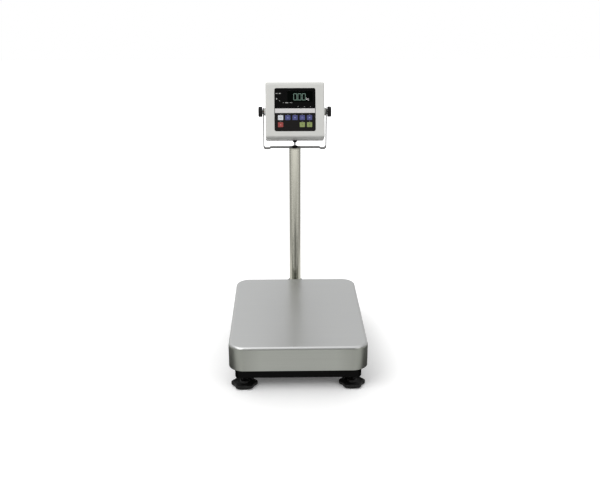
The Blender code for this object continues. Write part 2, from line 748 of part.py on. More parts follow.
def moulded_half(name, seam, end, top_radius, bottom_radius):
    """A housing half: round long edges at its closed end, round side rims, open at the seam."""
    w, h = HEAD_WIDTH / 2, HEAD_HEIGHT / 2
    bm = box((-w, min(seam, end), -h), (w, max(seam, end), h))
    for sign, radius in ((1, top_radius), (-1, bottom_radius)):
        edge = [
            e for e in bm.edges
            if all(abs(v.co.y - end) < 1e-6 and abs(v.co.z - sign * h) < 1e-6 for v in e.verts)
        ]
        round_edges(bm, edge, radius, 4)
    rims = [
        e for e in bm.edges
        if abs(e.verts[0].co.x - e.verts[1].co.x) < 1e-6
        and abs(abs(e.verts[0].co.x) - w) < 1e-6
        and not all(abs(v.co.y - seam) < 1e-6 for v in e.verts)
    ]
    round_edges(bm, rims, 0.0045, 2)
    mouth = [f for f in bm.faces if all(abs(v.co.y - seam) < 1e-6 for v in f.verts)]
    bmesh.ops.delete(bm, geom=mouth, context="FACES_ONLY")
    half = piece(bm, name, "light_grey_housing", parent=HEAD)
    solidify(half, HEAD_WALL)
    return half


def panel_holes(gap, low, high):
    """The window's and the keys' openings, as one cutter along Y."""
    bm = bmesh.new()
    add_box(bm, (WINDOW_LOW[0] - gap, low, WINDOW_LOW[1] - gap),
            (WINDOW_HIGH[0] + gap, high, WINDOW_HIGH[1] + gap), 0.002, "Y", 2)
    for column, row, _ in KEYS.values():
        x, z = column * KEY_PITCH, KEY_ROWS[row]
        add_box(bm, (x - KEY_WIDTH / 2 - gap, low, z - KEY_HEIGHT / 2 - gap),
                (x + KEY_WIDTH / 2 + gap, high, z + KEY_HEIGHT / 2 + gap), 0.0012, "Y", 1)
    return bm


def front_housing():
    """The front half, with bosses for the cover's screws, the board and the tilt pivots inside it."""
    housing = moulded_half("front_housing", HEAD_SEAM, HEAD_FRONT, 0.012, 0.007)
    w = OVERLAY_WIDTH / 2
    join(housing, drums(COVER_SCREWS, 0.005, HEAD_FRONT + 0.002, HEAD_SEAM - 0.004, "Y", 10))
    join(housing, drums(BOARD_PINS, 0.0030, HEAD_FRONT + 0.002, BOARD_FRONT - GAP, "Y", 8))
    join(housing, drums(BOARD_PINS, 0.0014, BOARD_FRONT - 0.001, BOARD_FRONT + 0.0035, "Y", 8))
    bosses = bmesh.new()
    for sign in (-1, 1):
        ends = sorted((sign * (HEAD_WIDTH / 2 - 0.001), sign * (HEAD_WIDTH / 2 - 0.013)))
        add_drum(bosses, 0.0075, *ends, along="X", steps=16)
    join(housing, bosses)
    cut(housing, box((-w - GAP, -0.05, OVERLAY_LOW - GAP), (w + GAP, HEAD_FRONT + 0.0009, OVERLAY_HIGH + GAP),
                     OVERLAY_CORNER, "Y"))
    cut(housing, panel_holes(GAP, -0.05, HEAD_FRONT + 0.008))
    cut(housing, drum(HOLE_RADIUS, -0.12, 0.12, (0, 0), "X", 16))
    cut(housing, drums(COVER_SCREWS, 0.0015, -0.012, 0.02, "Y", 8))


def rear_cover():
    """The rear half. Pillars inside it carry the main board."""
    cover = moulded_half("rear_cover", COVER_Y, HEAD_REAR, HEAD_CORNER, HEAD_CORNER)
    join(cover, drums(MAIN_BOARD_PINS, 0.0030, MAIN_BOARD_REAR + GAP, HEAD_REAR - 0.002, "Y", 8))
    join(cover, drums(MAIN_BOARD_PINS, 0.0014, MAIN_BOARD_REAR - 0.0036, MAIN_BOARD_REAR + 0.001, "Y", 8))
    cut(cover, drum(0.0063, -0.10, -0.08, (0, GLAND_Y), steps=24))
    cut(cover, drums(COVER_SCREWS, 0.0018, 0.03, 0.05, "Y", 8))


def housing_gasket():
    w, h = HEAD_WIDTH / 2 - 0.0008, HEAD_HEIGHT / 2 - 0.0008
    low, high = HEAD_SEAM + GAP, COVER_Y - GAP
    bm = box((-w, low, -h), (w, high, h), 0.004, "Y", 3)
    seal = piece(bm, "housing_gasket", "black_rubber", parent=HEAD)
    cut(seal, box((-w + 0.0025, -0.05, -h + 0.0025), (w - 0.0025, 0.05, h - 0.0025), 0.002, "Y", 2))


def front_panel():
    """The keypad's overlay, the display window and the keys, which sit in their openings."""
    w = OVERLAY_WIDTH / 2
    front = HEAD_FRONT - 0.0004
    back = front + OVERLAY_SHEET
    overlay = piece(box((-w, front, OVERLAY_LOW), (w, back, OVERLAY_HIGH), OVERLAY_CORNER, "Y"),
                    "keypad_overlay", "overlay_black", parent=HEAD)
    cut(overlay, panel_holes(GAP, -0.05, -0.03))
    window = box((WINDOW_LOW[0], front + 0.0002, WINDOW_LOW[1]), (WINDOW_HIGH[0], -0.038, WINDOW_HIGH[1]),
                 0.002, "Y", 2)
    piece(window, "display_window", "smoked_window", parent=HEAD)
    for name, (column, row, finish) in KEYS.items():
        half_w, half_h = KEY_WIDTH / 2, KEY_HEIGHT / 2
        at = (column * KEY_PITCH, HEAD_FRONT, KEY_ROWS[row])
        bm = box((-half_w, -0.0010, -half_h), (half_w, 0.0036, half_h), 0.0012, "Y", 1)
        face = [e for e in bm.edges if all(abs(v.co.y + 0.0010) < 1e-6 for v in e.verts)]
        round_edges(bm, face, 0.0005, 1)
        key = piece(bm, name, finish, at, HEAD)
        skirt_w, skirt_h = half_w + 0.0012, half_h + 0.0012
        join(key, box((-skirt_w, 0.0032, -skirt_h), (skirt_w, 0.0044, skirt_h)))


def electronics():
    """The display and keypad board stands on the front wall, the main board on the rear cover."""
    board = box((-0.072, BOARD_FRONT, -0.074), (0.072, BOARD_FRONT + 0.0016, 0.074))
    board = piece(board, "display_board", "circuit_board", parent=HEAD)
    cut(board, drums(BOARD_PINS, 0.0017, -0.04, -0.03, "Y", 8))
    switches = bmesh.new()
    for column, row, _ in KEYS.values():
        x, z = column * KEY_PITCH, KEY_ROWS[row]
        add_box(switches, (x - 0.0035, BOARD_FRONT - 0.0024, z - 0.0035),
                (x + 0.0035, BOARD_FRONT + 0.0005, z + 0.0035))
    join(board, switches)
    module = box((-0.030, BOARD_FRONT - 0.0032, 0.019), (0.062, BOARD_FRONT - GAP, 0.064))
    piece(module, "display_module", "display_glass", parent=HEAD)
    main = box((-0.060, MAIN_BOARD_REAR - 0.0016, -0.040), (0.060, MAIN_BOARD_REAR, 0.062))
    main = piece(main, "main_board", "circuit_board", parent=HEAD)
    join(main, box((-0.046, 0.004, -0.027), (-0.004, MAIN_BOARD_REAR - 0.001, 0.018), 0.002, "Y", 2))
    join(main, box((0.010, 0.014, -0.032), (0.048, MAIN_BOARD_REAR - 0.001, -0.022)))
    join(main, box((0.014, 0.0165, 0.004), (0.034, MAIN_BOARD_REAR - 0.001, 0.024)))
    cut(main, drums(MAIN_BOARD_PINS, 0.0017, 0.01, 0.03, "Y", 8))


def cable_gland():
    """The load cell's cable enters the indicator from below. Its gland points down."""
    wall = -HEAD_HEIGHT / 2
    at = (0, GLAND_Y)
    gland = piece(drum(0.0060, wall - 0.0010, wall + 0.0085, at, steps=20), "cable_gland", "black_nylon",
                  parent=HEAD)
    join(gland, drum(0.0080, wall - 0.0018, wall - GAP, at, steps=20))
    join(gland, drum(0.0066, wall - 0.0040, wall - 0.0012, at, steps=20))
    join(gland, drum(0.0050, wall - 0.0055, wall - 0.0030, at, steps=20))
    cut(gland, drum(CABLE_RADIUS + GAP, wall - 0.02, wall + 0.02, at, steps=16))
    low = wall + HEAD_WALL + GAP
    nut = piece(drum(0.0092, low, low + 0.0035, at, steps=6), "gland_lock_nut", "black_nylon", parent=HEAD)
    cut(nut, drum(0.0063, low - 0.01, low + 0.01, at, steps=20))


def tilt_pivots():
    """Spacers beside the housing, and the two clamp knobs, each with its washer."""
    side = HEAD_WIDTH / 2
    leg_inner, leg_outer = LEG_X - STRIP_SHEET / 2, LEG_X + STRIP_SHEET / 2
    for side_name, sign in (("left", -1), ("right", 1)):
        ends = sorted((sign * (side + GAP), sign * (leg_inner - GAP)))
        spacer = drum(0.0120, *ends, along="X", steps=28)
        spacer = piece(spacer, f"pivot_spacer_{side_name}", "grey_acetal", parent=HEAD)
        cut(spacer, drum(HOLE_RADIUS, -0.12, 0.12, (0, 0), "X", 16))
    washer_low = leg_outer + GAP
    washer_high = washer_low + 0.0015
    low = washer_high + GAP
    high = low + KNOB_DEPTH
    for side_name, turn in (("left", -math.pi / 2), ("right", math.pi / 2)):
        at = (0, COLUMN_Y, PIVOT_HEIGHT)
        washer = [
            (0.0080, washer_high),
            (0.0080, washer_low),
            (HOLE_RADIUS, washer_low),
            (HOLE_RADIUS, washer_high),
        ]
        turned(f"knob_washer_{side_name}", washer, "zinc_plated_steel", at, None, 16, True, (0, turn, 0))
        knob = [
            (0, high),
            (KNOB_RADIUS - 0.0040, high),
            (KNOB_RADIUS - 0.0012, high - 0.0012),
            (KNOB_RADIUS, high - 0.0038),
            (KNOB_RADIUS, low + 0.0040),
            (KNOB_RADIUS - 0.0015, low + 0.0015),
            (0.0100, low),
            (M6_RADIUS, low),
            (M6_RADIUS, side - 0.0125),
            (0, side - 0.0125),
        ]
        body = turned(f"clamp_knob_{side_name}", knob, "black_nylon", at, None, 30, False, (0, turn, 0))
        grip = KNOB_RADIUS + 0.0016
        spots = [
            (grip * math.cos(2 * math.pi * i / KNOB_FLUTES), grip * math.sin(2 * math.pi * i / KNOB_FLUTES))
            for i in range(KNOB_FLUTES)
        ]
        cut(body, drums(spots, 0.0030, low - 0.001, high + 0.001, steps=8))


base_frame()
feet()
load_cell()
cell_fixings()
spider()
pan_pads()
pan()
column_bracket()
bracket_bolts()
column_socket()
column_tube()
column_plug()
tilt_bracket()
cable_grommet()
level()
cables()
front_housing()
rear_cover()
housing_gasket()
front_panel()
electronics()
cable_gland()
tilt_pivots()
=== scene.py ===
# %% [markdown]
# # A platform scale, dressed in Blender
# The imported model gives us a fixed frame: every piece of the scale, at its real size and place.
# This lesson keeps the pieces whose shape is already right, models finer ones over those that show,
# and gives each surface the finish of its real material.

# %% Load the frame
import json
import math

import bmesh
import bpy
from mathutils import Matrix, Vector

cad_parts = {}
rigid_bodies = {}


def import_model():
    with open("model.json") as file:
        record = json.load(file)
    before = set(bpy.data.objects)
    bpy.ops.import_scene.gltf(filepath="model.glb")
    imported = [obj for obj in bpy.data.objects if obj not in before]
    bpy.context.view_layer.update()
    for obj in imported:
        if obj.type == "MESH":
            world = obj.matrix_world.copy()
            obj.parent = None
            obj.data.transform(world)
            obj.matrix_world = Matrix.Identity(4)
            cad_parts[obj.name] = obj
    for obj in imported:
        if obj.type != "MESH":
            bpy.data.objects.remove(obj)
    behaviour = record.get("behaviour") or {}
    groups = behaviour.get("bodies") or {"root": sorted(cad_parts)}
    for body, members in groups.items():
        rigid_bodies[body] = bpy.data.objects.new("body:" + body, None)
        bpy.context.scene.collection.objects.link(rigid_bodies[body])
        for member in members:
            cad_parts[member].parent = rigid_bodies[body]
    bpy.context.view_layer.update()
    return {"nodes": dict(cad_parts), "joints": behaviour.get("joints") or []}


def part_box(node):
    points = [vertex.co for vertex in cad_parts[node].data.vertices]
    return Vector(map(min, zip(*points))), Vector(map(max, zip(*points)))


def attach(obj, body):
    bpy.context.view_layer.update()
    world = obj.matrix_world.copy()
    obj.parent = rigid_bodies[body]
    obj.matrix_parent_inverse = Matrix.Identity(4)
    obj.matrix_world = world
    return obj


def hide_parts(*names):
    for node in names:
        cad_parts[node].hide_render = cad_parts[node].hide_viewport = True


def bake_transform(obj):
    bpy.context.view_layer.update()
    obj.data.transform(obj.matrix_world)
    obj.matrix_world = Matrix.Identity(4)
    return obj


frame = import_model()

# %% [markdown]
# ## Camera
# The photographer stood in front of the pan and looked slightly down at it. A camera matched to the
# photograph has a 50 mm lens on a 36 mm sensor, 2.07 m in front of the pan and 1.14 m above the floor.
# A matched camera comes first.

# %% The camera
PAN_LOW, PAN_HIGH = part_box("pan")
camera_data = bpy.data.cameras.new("front_camera")
camera_data.lens = 49.9
camera_data.sensor_width = 36.0
camera = bpy.data.objects.new("front_camera", camera_data)
camera.location = (-0.0406, PAN_LOW.y - 2.0739, 1.1365)
camera.rotation_euler = (math.radians(90 - 18.39), 0, math.radians(-1.23))
bpy.context.collection.objects.link(camera)
bpy.context.scene.camera = camera
bpy.context.scene.view_settings.view_transform = "Standard"
print("camera at", [round(value, 3) for value in camera.location])

# %% [markdown]
# ## Colours and nodes
# Colours are picked as sRGB hex values, as a paint chart gives them. Shaders compute in linear light,
# so one function turns a hex value into what a socket takes. Another adds a node with its settings
# and its links. Most finishes then need only one noise, which lets colour, gloss and relief drift.

# %% Helpers for finishes
def colour(code):
    """An sRGB hex colour as linear light, with full alpha."""
    channels = [int(code[i : i + 2], 16) / 255 for i in (0, 2, 4)]
    return [c / 12.92 if c <= 0.04045 else ((c + 0.055) / 1.055) ** 2.4 for c in channels] + [1.0]


def plug_in(node, inputs):
    """Sets a node's inputs. Each is a value, or another node or one of its outputs to link."""
    for key, value in inputs.items():
        if isinstance(value, bpy.types.Node):
            value = next(output for output in value.outputs if output.enabled)
        if isinstance(value, bpy.types.NodeSocket):
            node.id_data.links.new(value, node.inputs[key])
        else:
            node.inputs[key].default_value = value


def add_node(tree, kind, inputs=None, **settings):
    """Adds a shader node with its settings and its inputs."""
    made = tree.nodes.new("ShaderNode" + kind)
    for key, value in settings.items():
        setattr(made, key, value)
    plug_in(made, inputs or {})
    return made


def start_finish(name, code, roughness, metallic=0.0, **sockets):
    """A material with its Principled BSDF set to the values that are the same all over."""
    finish = bpy.data.materials.new(name)
    finish.use_nodes = True
    shader = finish.node_tree.nodes["Principled BSDF"]
    shader.inputs["Base Color"].default_value = colour(code)
    shader.inputs["Roughness"].default_value = roughness
    shader.inputs["Metallic"].default_value = metallic
    for key, value in sockets.items():
        shader.inputs[key.replace("_", " ")].default_value = value
    add_node(finish.node_tree, "TexCoord")
    print("finish:", name, "from", code)
    return finish


def inside(finish):
    """A finish's node tree, its shader, and the object coordinates that its patterns are laid by."""
    nodes = finish.node_tree.nodes
    return finish.node_tree, nodes["Principled BSDF"], nodes["Texture Coordinate"].outputs["Object"]


def vary(finish, scale, detail=2, at=None, tones=None, roughness=None, relief=None):
    """Lets one noise change a finish's colour, roughness and relief, each only where it is given."""
    tree, shader, coords = inside(finish)
    place = coords if at is None else at
    noise = add_node(tree, "TexNoise", {"Vector": place, "Scale": scale, "Detail": detail})
    if tones:
        dark, light = map(colour, tones)
        tone = add_node(tree, "Mix", {0: noise, 6: dark, 7: light}, data_type="RGBA")
        plug_in(shader, {"Base Color": tone})
    if roughness:
        blur = add_node(tree, "MapRange", {"Value": noise, "To Min": roughness[0],
                                           "To Max": roughness[1]})
        plug_in(shader, {"Roughness": blur})
    if relief:
        bumps = add_node(tree, "Bump", {"Height": noise, "Strength": relief[0], "Distance": relief[1]})
        plug_in(shader, {"Normal": bumps})
    return noise


print("steel grey in linear light:", [round(c, 3) for c in colour("b9bab9")])

# %% [markdown]
# ## The studio floor
# A white sweep keeps the scale's shadow and is otherwise as white as the photograph's background.
# White paint alone turns grey away from the lamps, so the floor also glows a little, more so with its
# distance from the pan's front. The weaker glow near the pan is painted shadow: it keeps the floor
# darker round the scale. Only the camera, metal and glass see the glow: it lights nothing.
# The column mirrors the floor between the pan and the camera. For reflections only, the floor is
# painted dim near the pan and brighter further off: a painted reflection that shades the column from
# top to bottom.

# %% The floor
def seen_rays(tree):
    """Is 1 for the rays by which the camera, metal and glass see a thing, and 0 for its light."""
    rays = add_node(tree, "LightPath")
    seen = rays.outputs["Is Camera Ray"]
    for kind in ("Is Glossy Ray", "Is Transmission Ray"):
        seen = add_node(tree, "Math", {0: seen, 1: rays.outputs[kind]}, operation="MAXIMUM")
    return seen, rays


FRONT_MIDDLE = (0, PAN_LOW.y, 0)
bpy.ops.mesh.primitive_plane_add(size=16)
floor = bpy.context.object
floor.name = "studio_floor"
floor_paint = start_finish("matt_white_sweep", "ffffff", 0.9)
tree, shader, coords = inside(floor_paint)
shader.inputs["Specular IOR Level"].default_value = 0.0
shader.inputs["Emission Color"].default_value = colour("ffffff")
seen, rays = seen_rays(tree)
paint = add_node(tree, "Mix", {0: rays.outputs["Is Diffuse Ray"], 6: colour("ffffff"),
                               7: colour("8c8c8c")}, data_type="RGBA")
in_front = add_node(tree, "SeparateXYZ", {0: coords})
# Painted reflection: to glossy rays the floor is darker near the pan, which shades the column.
far_mirrored = add_node(tree, "MapRange", {"Value": in_front.outputs["Y"], "From Min": -2.4,
                                           "From Max": -0.8, "To Min": 1.0, "To Max": 0.5})
near_mirrored = add_node(tree, "MapRange", {"Value": in_front.outputs["Y"], "From Min": -0.8,
                                            "From Max": -0.5, "To Max": 0.5})
painted_mirror_shade = add_node(tree, "Math", {0: far_mirrored, 1: near_mirrored}, operation="ADD")
painted_mirror_shade = add_node(tree, "Mix", {0: rays.outputs["Is Glossy Ray"], 2: 1.0, 3: painted_mirror_shade})
paint = add_node(tree, "VectorMath", {0: paint, "Scale": painted_mirror_shade}, operation="SCALE")
plug_in(shader, {"Base Color": paint})
away = add_node(tree, "VectorMath", {0: coords, 1: FRONT_MIDDLE}, operation="DISTANCE")
# Painted shadow: the floor glows less near the pan's front, so it stays darker round the scale.
near_glow = add_node(tree, "MapRange", {"Value": away, "From Min": 0.11, "From Max": 0.6, "To Min": 0.07,
                                        "To Max": 0.32})
far_glow = add_node(tree, "MapRange", {"Value": away, "From Min": 0.9, "From Max": 2.2, "To Max": 0.6})
glow = add_node(tree, "Math", {0: near_glow, 1: far_glow}, operation="ADD")
for share in (seen, painted_mirror_shade):
    glow = add_node(tree, "Math", {0: glow, 1: share}, operation="MULTIPLY")
plug_in(shader, {"Emission Strength": glow})
floor.data.materials.append(floor_paint)
print("floor:", [round(size, 1) for size in floor.dimensions])

# %% [markdown]
# ## The air and the lamps
# Metal shows its surroundings more than its own colour. The photographer's studio was white behind
# the scale and over it, and dim on the camera's side, which is what gives the steel its dark lines.
# The world does the same: reflections find it white behind and above, and dim in front.

# %% World and lamps
world = bpy.data.worlds.new("studio_air")
world.use_nodes = True
bpy.context.scene.world = world
tree = world.node_tree
seen, rays = seen_rays(tree)
direction = add_node(tree, "TexCoord")
direction = add_node(tree, "SeparateXYZ", {0: direction.outputs["Generated"]})
behind = add_node(tree, "MapRange", {"Value": direction.outputs["Y"], "From Min": -0.3, "From Max": 0.2,
                                     "To Min": 0.25, "To Max": 1.0})
above = add_node(tree, "MapRange", {"Value": direction.outputs["Z"], "From Min": 0.6, "From Max": 0.9,
                                    "To Max": 1.7})
low = add_node(tree, "MapRange", {"Value": direction.outputs["Z"], "From Min": 0.05, "From Max": 0.2,
                                  "To Min": 1.0, "To Max": 0.0})
to_right = add_node(tree, "MapRange", {"Value": direction.outputs["X"], "From Min": -0.3, "From Max": 0.3,
                                       "To Min": 1.0, "To Max": 0.86})
bright = behind
for other in (above, low):
    bright = add_node(tree, "Math", {0: bright, 1: other}, operation="MAXIMUM")
bright = add_node(tree, "Math", {0: bright, 1: to_right}, operation="MULTIPLY")
camera_ray = rays.outputs["Is Camera Ray"]
bright = add_node(tree, "Math", {0: bright, 1: camera_ray}, operation="MAXIMUM")
ambient = add_node(tree, "MapRange", {"Value": direction.outputs["Y"], "From Min": -0.5, "From Max": 0.5,
                                      "To Min": 0.42, "To Max": 0.84})
soft = add_node(tree, "Background", {"Color": colour("ffffff"), "Strength": ambient})
white = add_node(tree, "Background", {"Color": colour("ffffff"), "Strength": bright})
mixed = add_node(tree, "MixShader", {0: seen, 1: soft, 2: white})
plug_in(tree.nodes["World Output"], {"Surface": mixed})


def softbox(name, at, towards, size, power):
    """A square lamp with a soft edge to its shadow."""
    light = bpy.data.lights.new(name, "AREA")
    light.size = size
    light.energy = power
    lamp = bpy.data.objects.new(name, light)
    lamp.location = at
    lamp.rotation_euler = (Vector(towards) - Vector(at)).to_track_quat("-Z", "Y").to_euler()
    bpy.context.collection.objects.link(lamp)


softbox("key_softbox", (-1.6, -1.6, 2.6), (0, 0, 0.3), 2.3, 50)
softbox("fill_softbox", (1.9, -1.9, 1.6), (0, 0, 0.4), 1.6, 16)

# %% [markdown]
# ## Dark cards
# White walls on all sides would leave bright metal without an outline. A photographer lays dark
# cards beside it, whose reflections draw its edges: black ones by the pan's corners, grey ones to the
# sides of the column. They lie on the floor, and only reflections see them.

# %% Four cards
def dark_card(name, code, x, y, wide, deep):
    """A card on the floor that only reflections see."""
    bpy.ops.mesh.primitive_plane_add(size=1, location=(x, y, 0.001))
    card = bpy.context.object
    card.name = name
    card.scale = (wide, deep, 1.0)
    for rays in ("camera", "diffuse", "transmission", "shadow"):
        setattr(card, f"visible_{rays}", False)
    card.data.materials.append(start_finish(name, code, 0.9))


for side in (-1, 1):
    dark_card("black_card", "0c0c0c", side * 0.36, PAN_LOW.y + 0.18, 0.32, 0.46)
    dark_card("grey_card", "dedede", side * 1.85, 1.45, 2.6, 3.6)
print("cards:", sum("_card" in obj.name for obj in bpy.data.objects))

# %% [markdown]
# ## Modelling steps
# Every new piece follows the same steps as by hand: add a primitive at its size and place, go into
# edit mode, pick faces or edges, and push them about. Only picking needs code, because there is no
# mouse. The loaded pieces arrive selected, so each step starts by deselecting everything.

# %% Adding and picking
def only(piece):
    """Makes a piece the only selected one, and the active one."""
    bpy.ops.object.select_all(action="DESELECT")
    piece.select_set(True)
    bpy.context.view_layer.objects.active = piece


TOLERANCE = 1e-5


def close(value, target):
    """Is true when two lengths are the same to a hundredth of a millimetre."""
    return abs(value - target) < TOLERANCE


def add(name, primitive, **settings):
    """Adds a primitive at its size and place, with both applied."""
    bpy.ops.object.select_all(action="DESELECT")
    primitive(**settings)
    piece = bpy.context.object
    piece.name = name
    bpy.ops.object.transform_apply(location=True, rotation=True, scale=True)
    return piece


def block(name, low, high):
    """A cube primitive between two corners."""
    low, high = Vector(low), Vector(high)
    return add(name, bpy.ops.mesh.primitive_cube_add, size=1, location=(low + high) / 2, scale=high - low)


def edit(piece):
    """Goes into edit mode on a piece."""
    only(piece)
    bpy.ops.object.mode_set(mode="EDIT")


def pick(piece, kind, test):
    """Selects the faces, edges or vertices whose corner points pass the test."""
    bpy.ops.mesh.select_mode(type=kind)
    bpy.ops.mesh.select_all(action="DESELECT")
    mesh = bmesh.from_edit_mesh(piece.data)
    for item in {"VERT": mesh.verts, "EDGE": mesh.edges, "FACE": mesh.faces}[kind]:
        if test([item.co] if kind == "VERT" else [vert.co for vert in item.verts]):
            item.select_set(True)
    mesh.select_flush_mode()
    bmesh.update_edit_mesh(piece.data)


def pick_at(piece, kind, **plane):
    """Selects what lies in one plane, such as z=0.5."""
    (axis, value), = plane.items()
    pick(piece, kind, lambda c: all(close(getattr(v, axis), value) for v in c))


def round_edges(piece, radius, segments, **plane):
    """Bevels the edges that lie in one plane."""
    pick_at(piece, "EDGE", **plane)
    bpy.ops.mesh.bevel(offset=radius, segments=segments)


def done():
    """Leaves edit mode."""
    bpy.ops.object.mode_set(mode="OBJECT")


print("a plane is met to", TOLERANCE, "m")

# %% [markdown]
# A finished piece is handed over once: its place is applied, its shading is set, and it is told what
# it is made of, which body it rides on and which pieces of the frame it stands for.

# %% Finishing and handing over
def apply_modifiers(piece):
    """Makes a piece's modifiers part of its mesh."""
    only(piece)
    for modifier in list(piece.modifiers):
        bpy.ops.object.modifier_apply(modifier=modifier.name)


def thicken(piece, thickness, offset=-1, even=True):
    """Gives an open surface the thickness of its sheet."""
    sheet = piece.modifiers.new("Sheet", "SOLIDIFY")
    sheet.thickness = thickness
    sheet.offset = offset
    sheet.use_even_offset = even
    apply_modifiers(piece)


def hand_over(piece, finish, body, slot, *nodes, smooth=32):
    """Applies a finished piece's place, and says what it is made of, rides on and stands for.

    Smooth shading bends the light on a flat face beside a rounded edge, and weighted normals stop that.
    """
    only(piece)
    bpy.ops.object.transform_apply(location=True, rotation=True, scale=True)
    bpy.ops.object.shade_smooth_by_angle(angle=math.radians(smooth))
    normals = piece.modifiers.new("Flat faces", "WEIGHTED_NORMAL")
    normals.keep_sharp = True
    apply_modifiers(piece)
    piece.data.materials.clear()
    piece.data.materials.append(finish)
    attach(piece, body)
    if nodes:
        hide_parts(*nodes)
    print(f"{piece.name}: {len(piece.data.polygons)} faces on {body}")


# %% [markdown]
# ## Brushed stainless steel
# The pan is pressed from stainless sheet that was brushed from side to side. Brushing leaves long
# parallel scratches. They smear a reflection across themselves, so the column's image runs down the
# whole pan, and the walls mix the white floor with the dim air above it. An anisotropic shader does
# that: its tangent is the direction of the smear. Real scratches are 0.05 mm apart, too fine to show,
# so the finest here are 1.5 mm apart. The walls are painted darker than the top, and darker still by
# the corners: painted shade for the dim surroundings that they reflect.

# %% Brushed stainless steel
brushed_steel = start_finish("brushed_stainless_steel", "b6b7b5", 0.36, 1.0, Anisotropic=0.7)
tree, shader, coords = inside(brushed_steel)
facing = add_node(tree, "NewGeometry")
facing = add_node(tree, "SeparateXYZ", {0: facing.outputs["Normal"]})
sideways = add_node(tree, "Math", {0: facing.outputs["X"]}, operation="ABSOLUTE")
sideways = add_node(tree, "Math", {0: sideways, 1: 0.75}, operation="GREATER_THAN")
flat = add_node(tree, "MapRange", {"Value": facing.outputs["Z"], "From Min": 0.3, "From Max": 0.7})
along_x = add_node(tree, "Mapping", {"Vector": coords, "Scale": (0.006, 1.0, 1.0)})
along_y = add_node(tree, "Mapping", {"Vector": coords, "Scale": (0.006, 0.006, 1.0)})
run = add_node(tree, "Mix", {0: sideways, 4: along_x, 5: along_y}, data_type="VECTOR")
scratches = vary(brushed_steel, 650, 3, at=run, roughness=(0.30, 0.42), relief=(0.06, 0.0003))
top_tone = add_node(tree, "Mix", {0: scratches, 6: colour("b1b2b2"), 7: colour("bcbdbc")},
                    data_type="RGBA")
# Painted shade: the walls' tone is darker than the top's.
shaded_wall_tone = add_node(tree, "Mix", {0: scratches, 6: colour("999b95"), 7: colour("a7a9a3")},
                     data_type="RGBA")
from_middle = add_node(tree, "VectorMath", {0: coords, 1: (0, (PAN_LOW.y + PAN_HIGH.y) / 2, 0)},
                       operation="SUBTRACT")
from_middle = add_node(tree, "VectorMath", {0: from_middle}, operation="ABSOLUTE")
from_middle = add_node(tree, "SeparateXYZ", {0: from_middle})
corner_shade_ramps = []
for axis, reach in (("X", PAN_HIGH.x), ("Y", (PAN_HIGH.y - PAN_LOW.y) / 2)):
    corner_shade_ramps.append(add_node(tree, "MapRange", {"Value": from_middle.outputs[axis],
                                                   "From Min": reach - 0.09, "From Max": reach - 0.02}))
# Painted shade: the walls' tone darkens towards the pan's corners.
drawn = add_node(tree, "Math", {0: corner_shade_ramps[0], 1: corner_shade_ramps[1]}, operation="MINIMUM")
shaded_wall_tone = add_node(tree, "Mix", {0: drawn, 6: shaded_wall_tone, 7: colour("8b8d86")}, data_type="RGBA")
tone = add_node(tree, "Mix", {0: flat, 6: shaded_wall_tone, 7: top_tone}, data_type="RGBA")
plug_in(shader, {"Base Color": tone})
smear = add_node(tree, "Mix", {0: flat, 4: (0, 0, 1), 5: (0, 1, 0)}, data_type="VECTOR")
plug_in(shader, {"Tangent": smear})

# %% [markdown]
# ## The pan
# The weighing pan is a deep-drawn tray: wide round corners, a rolled rim round its top and one
# thickness of sheet. It starts as a box. Bevelling its upright edges and then its top rim makes the
# drawn shape, deleting the floor opens it, and Solidify gives it its 1.2 mm sheet.

# %% The pan
CORNER_RADIUS = 0.044
PAN_SHEET = 0.0012
RIM_RADIUS = 0.009
pan = block("weighing_pan", PAN_LOW, PAN_HIGH)
edit(pan)
pick(pan, "EDGE", lambda c: close(c[0].x, c[1].x) and close(c[0].y, c[1].y))
bpy.ops.mesh.bevel(offset=CORNER_RADIUS, segments=22)
round_edges(pan, RIM_RADIUS, 10, z=PAN_HIGH.z)
pick_at(pan, "FACE", z=PAN_LOW.z)
bpy.ops.mesh.delete(type="FACE")
done()
thicken(pan, PAN_SHEET)
hand_over(pan, brushed_steel, "pan", "brushed_stainless", "pan", smooth=50)

# %% [markdown]
# ## Black moulded nylon and rubber
# The hand wheels and knobs are glass-filled nylon, moulded in a tool with a fine spark-eroded
# texture. That gives the eye a black that is soft and a little grey where light grazes it. The soles
# and pads are rubber, which is rougher and has no sheen.

# %% Nylon and rubber
nylon = start_finish("glass_filled_nylon", "060606", 0.5, Specular_IOR_Level=0.25)
vary(nylon, 1400, roughness=(0.42, 0.6), relief=(0.25, 0.0003))
rubber = start_finish("moulded_rubber", "0b0b0b", 0.85, Specular_IOR_Level=0.3)
vary(rubber, 900, 3, tones=("080808", "101010"), relief=(0.3, 0.0004))

# %% [markdown]
# ## Zinc-plated steel
# Studs, screws and washers are steel with a thin bright zinc coat. The coat is a little cloudy, with
# patches a few millimetres across that are duller than the rest.

# %% Zinc-plated steel
zinc = start_finish("bright_zinc_plate", "a9aaa9", 0.38, 1.0)
vary(zinc, 260, tones=("979896", "b9bab6"), roughness=(0.3, 0.48))

# %% [markdown]
# ## Levelling feet
# Each foot is a hand wheel with six lobes for the fingers, moulded round an M12 stud, on a rubber
# sole. The wheel starts as a cylinder of 96 sides. Rings of points that lie at the same place on
# their lobe are scaled together towards the axis, which turns the circle into a soft star. A bevel
# rounds the rim, and the hub is a second cylinder that is joined on.

# %% A hand wheel
WHEEL_RADIUS = 0.0375
WHEEL_TOP = 0.0135
LOBE_DEPTH = 0.006
HUB_TOP = WHEEL_TOP + 0.004
LOBES = 6
SIDES = 96
sole_low, sole_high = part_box("foot_sole_1")
wheel_low, wheel_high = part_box("foot_wheel_1")
FOOT = ((sole_low.x + sole_high.x) / 2, (sole_low.y + sole_high.y) / 2)


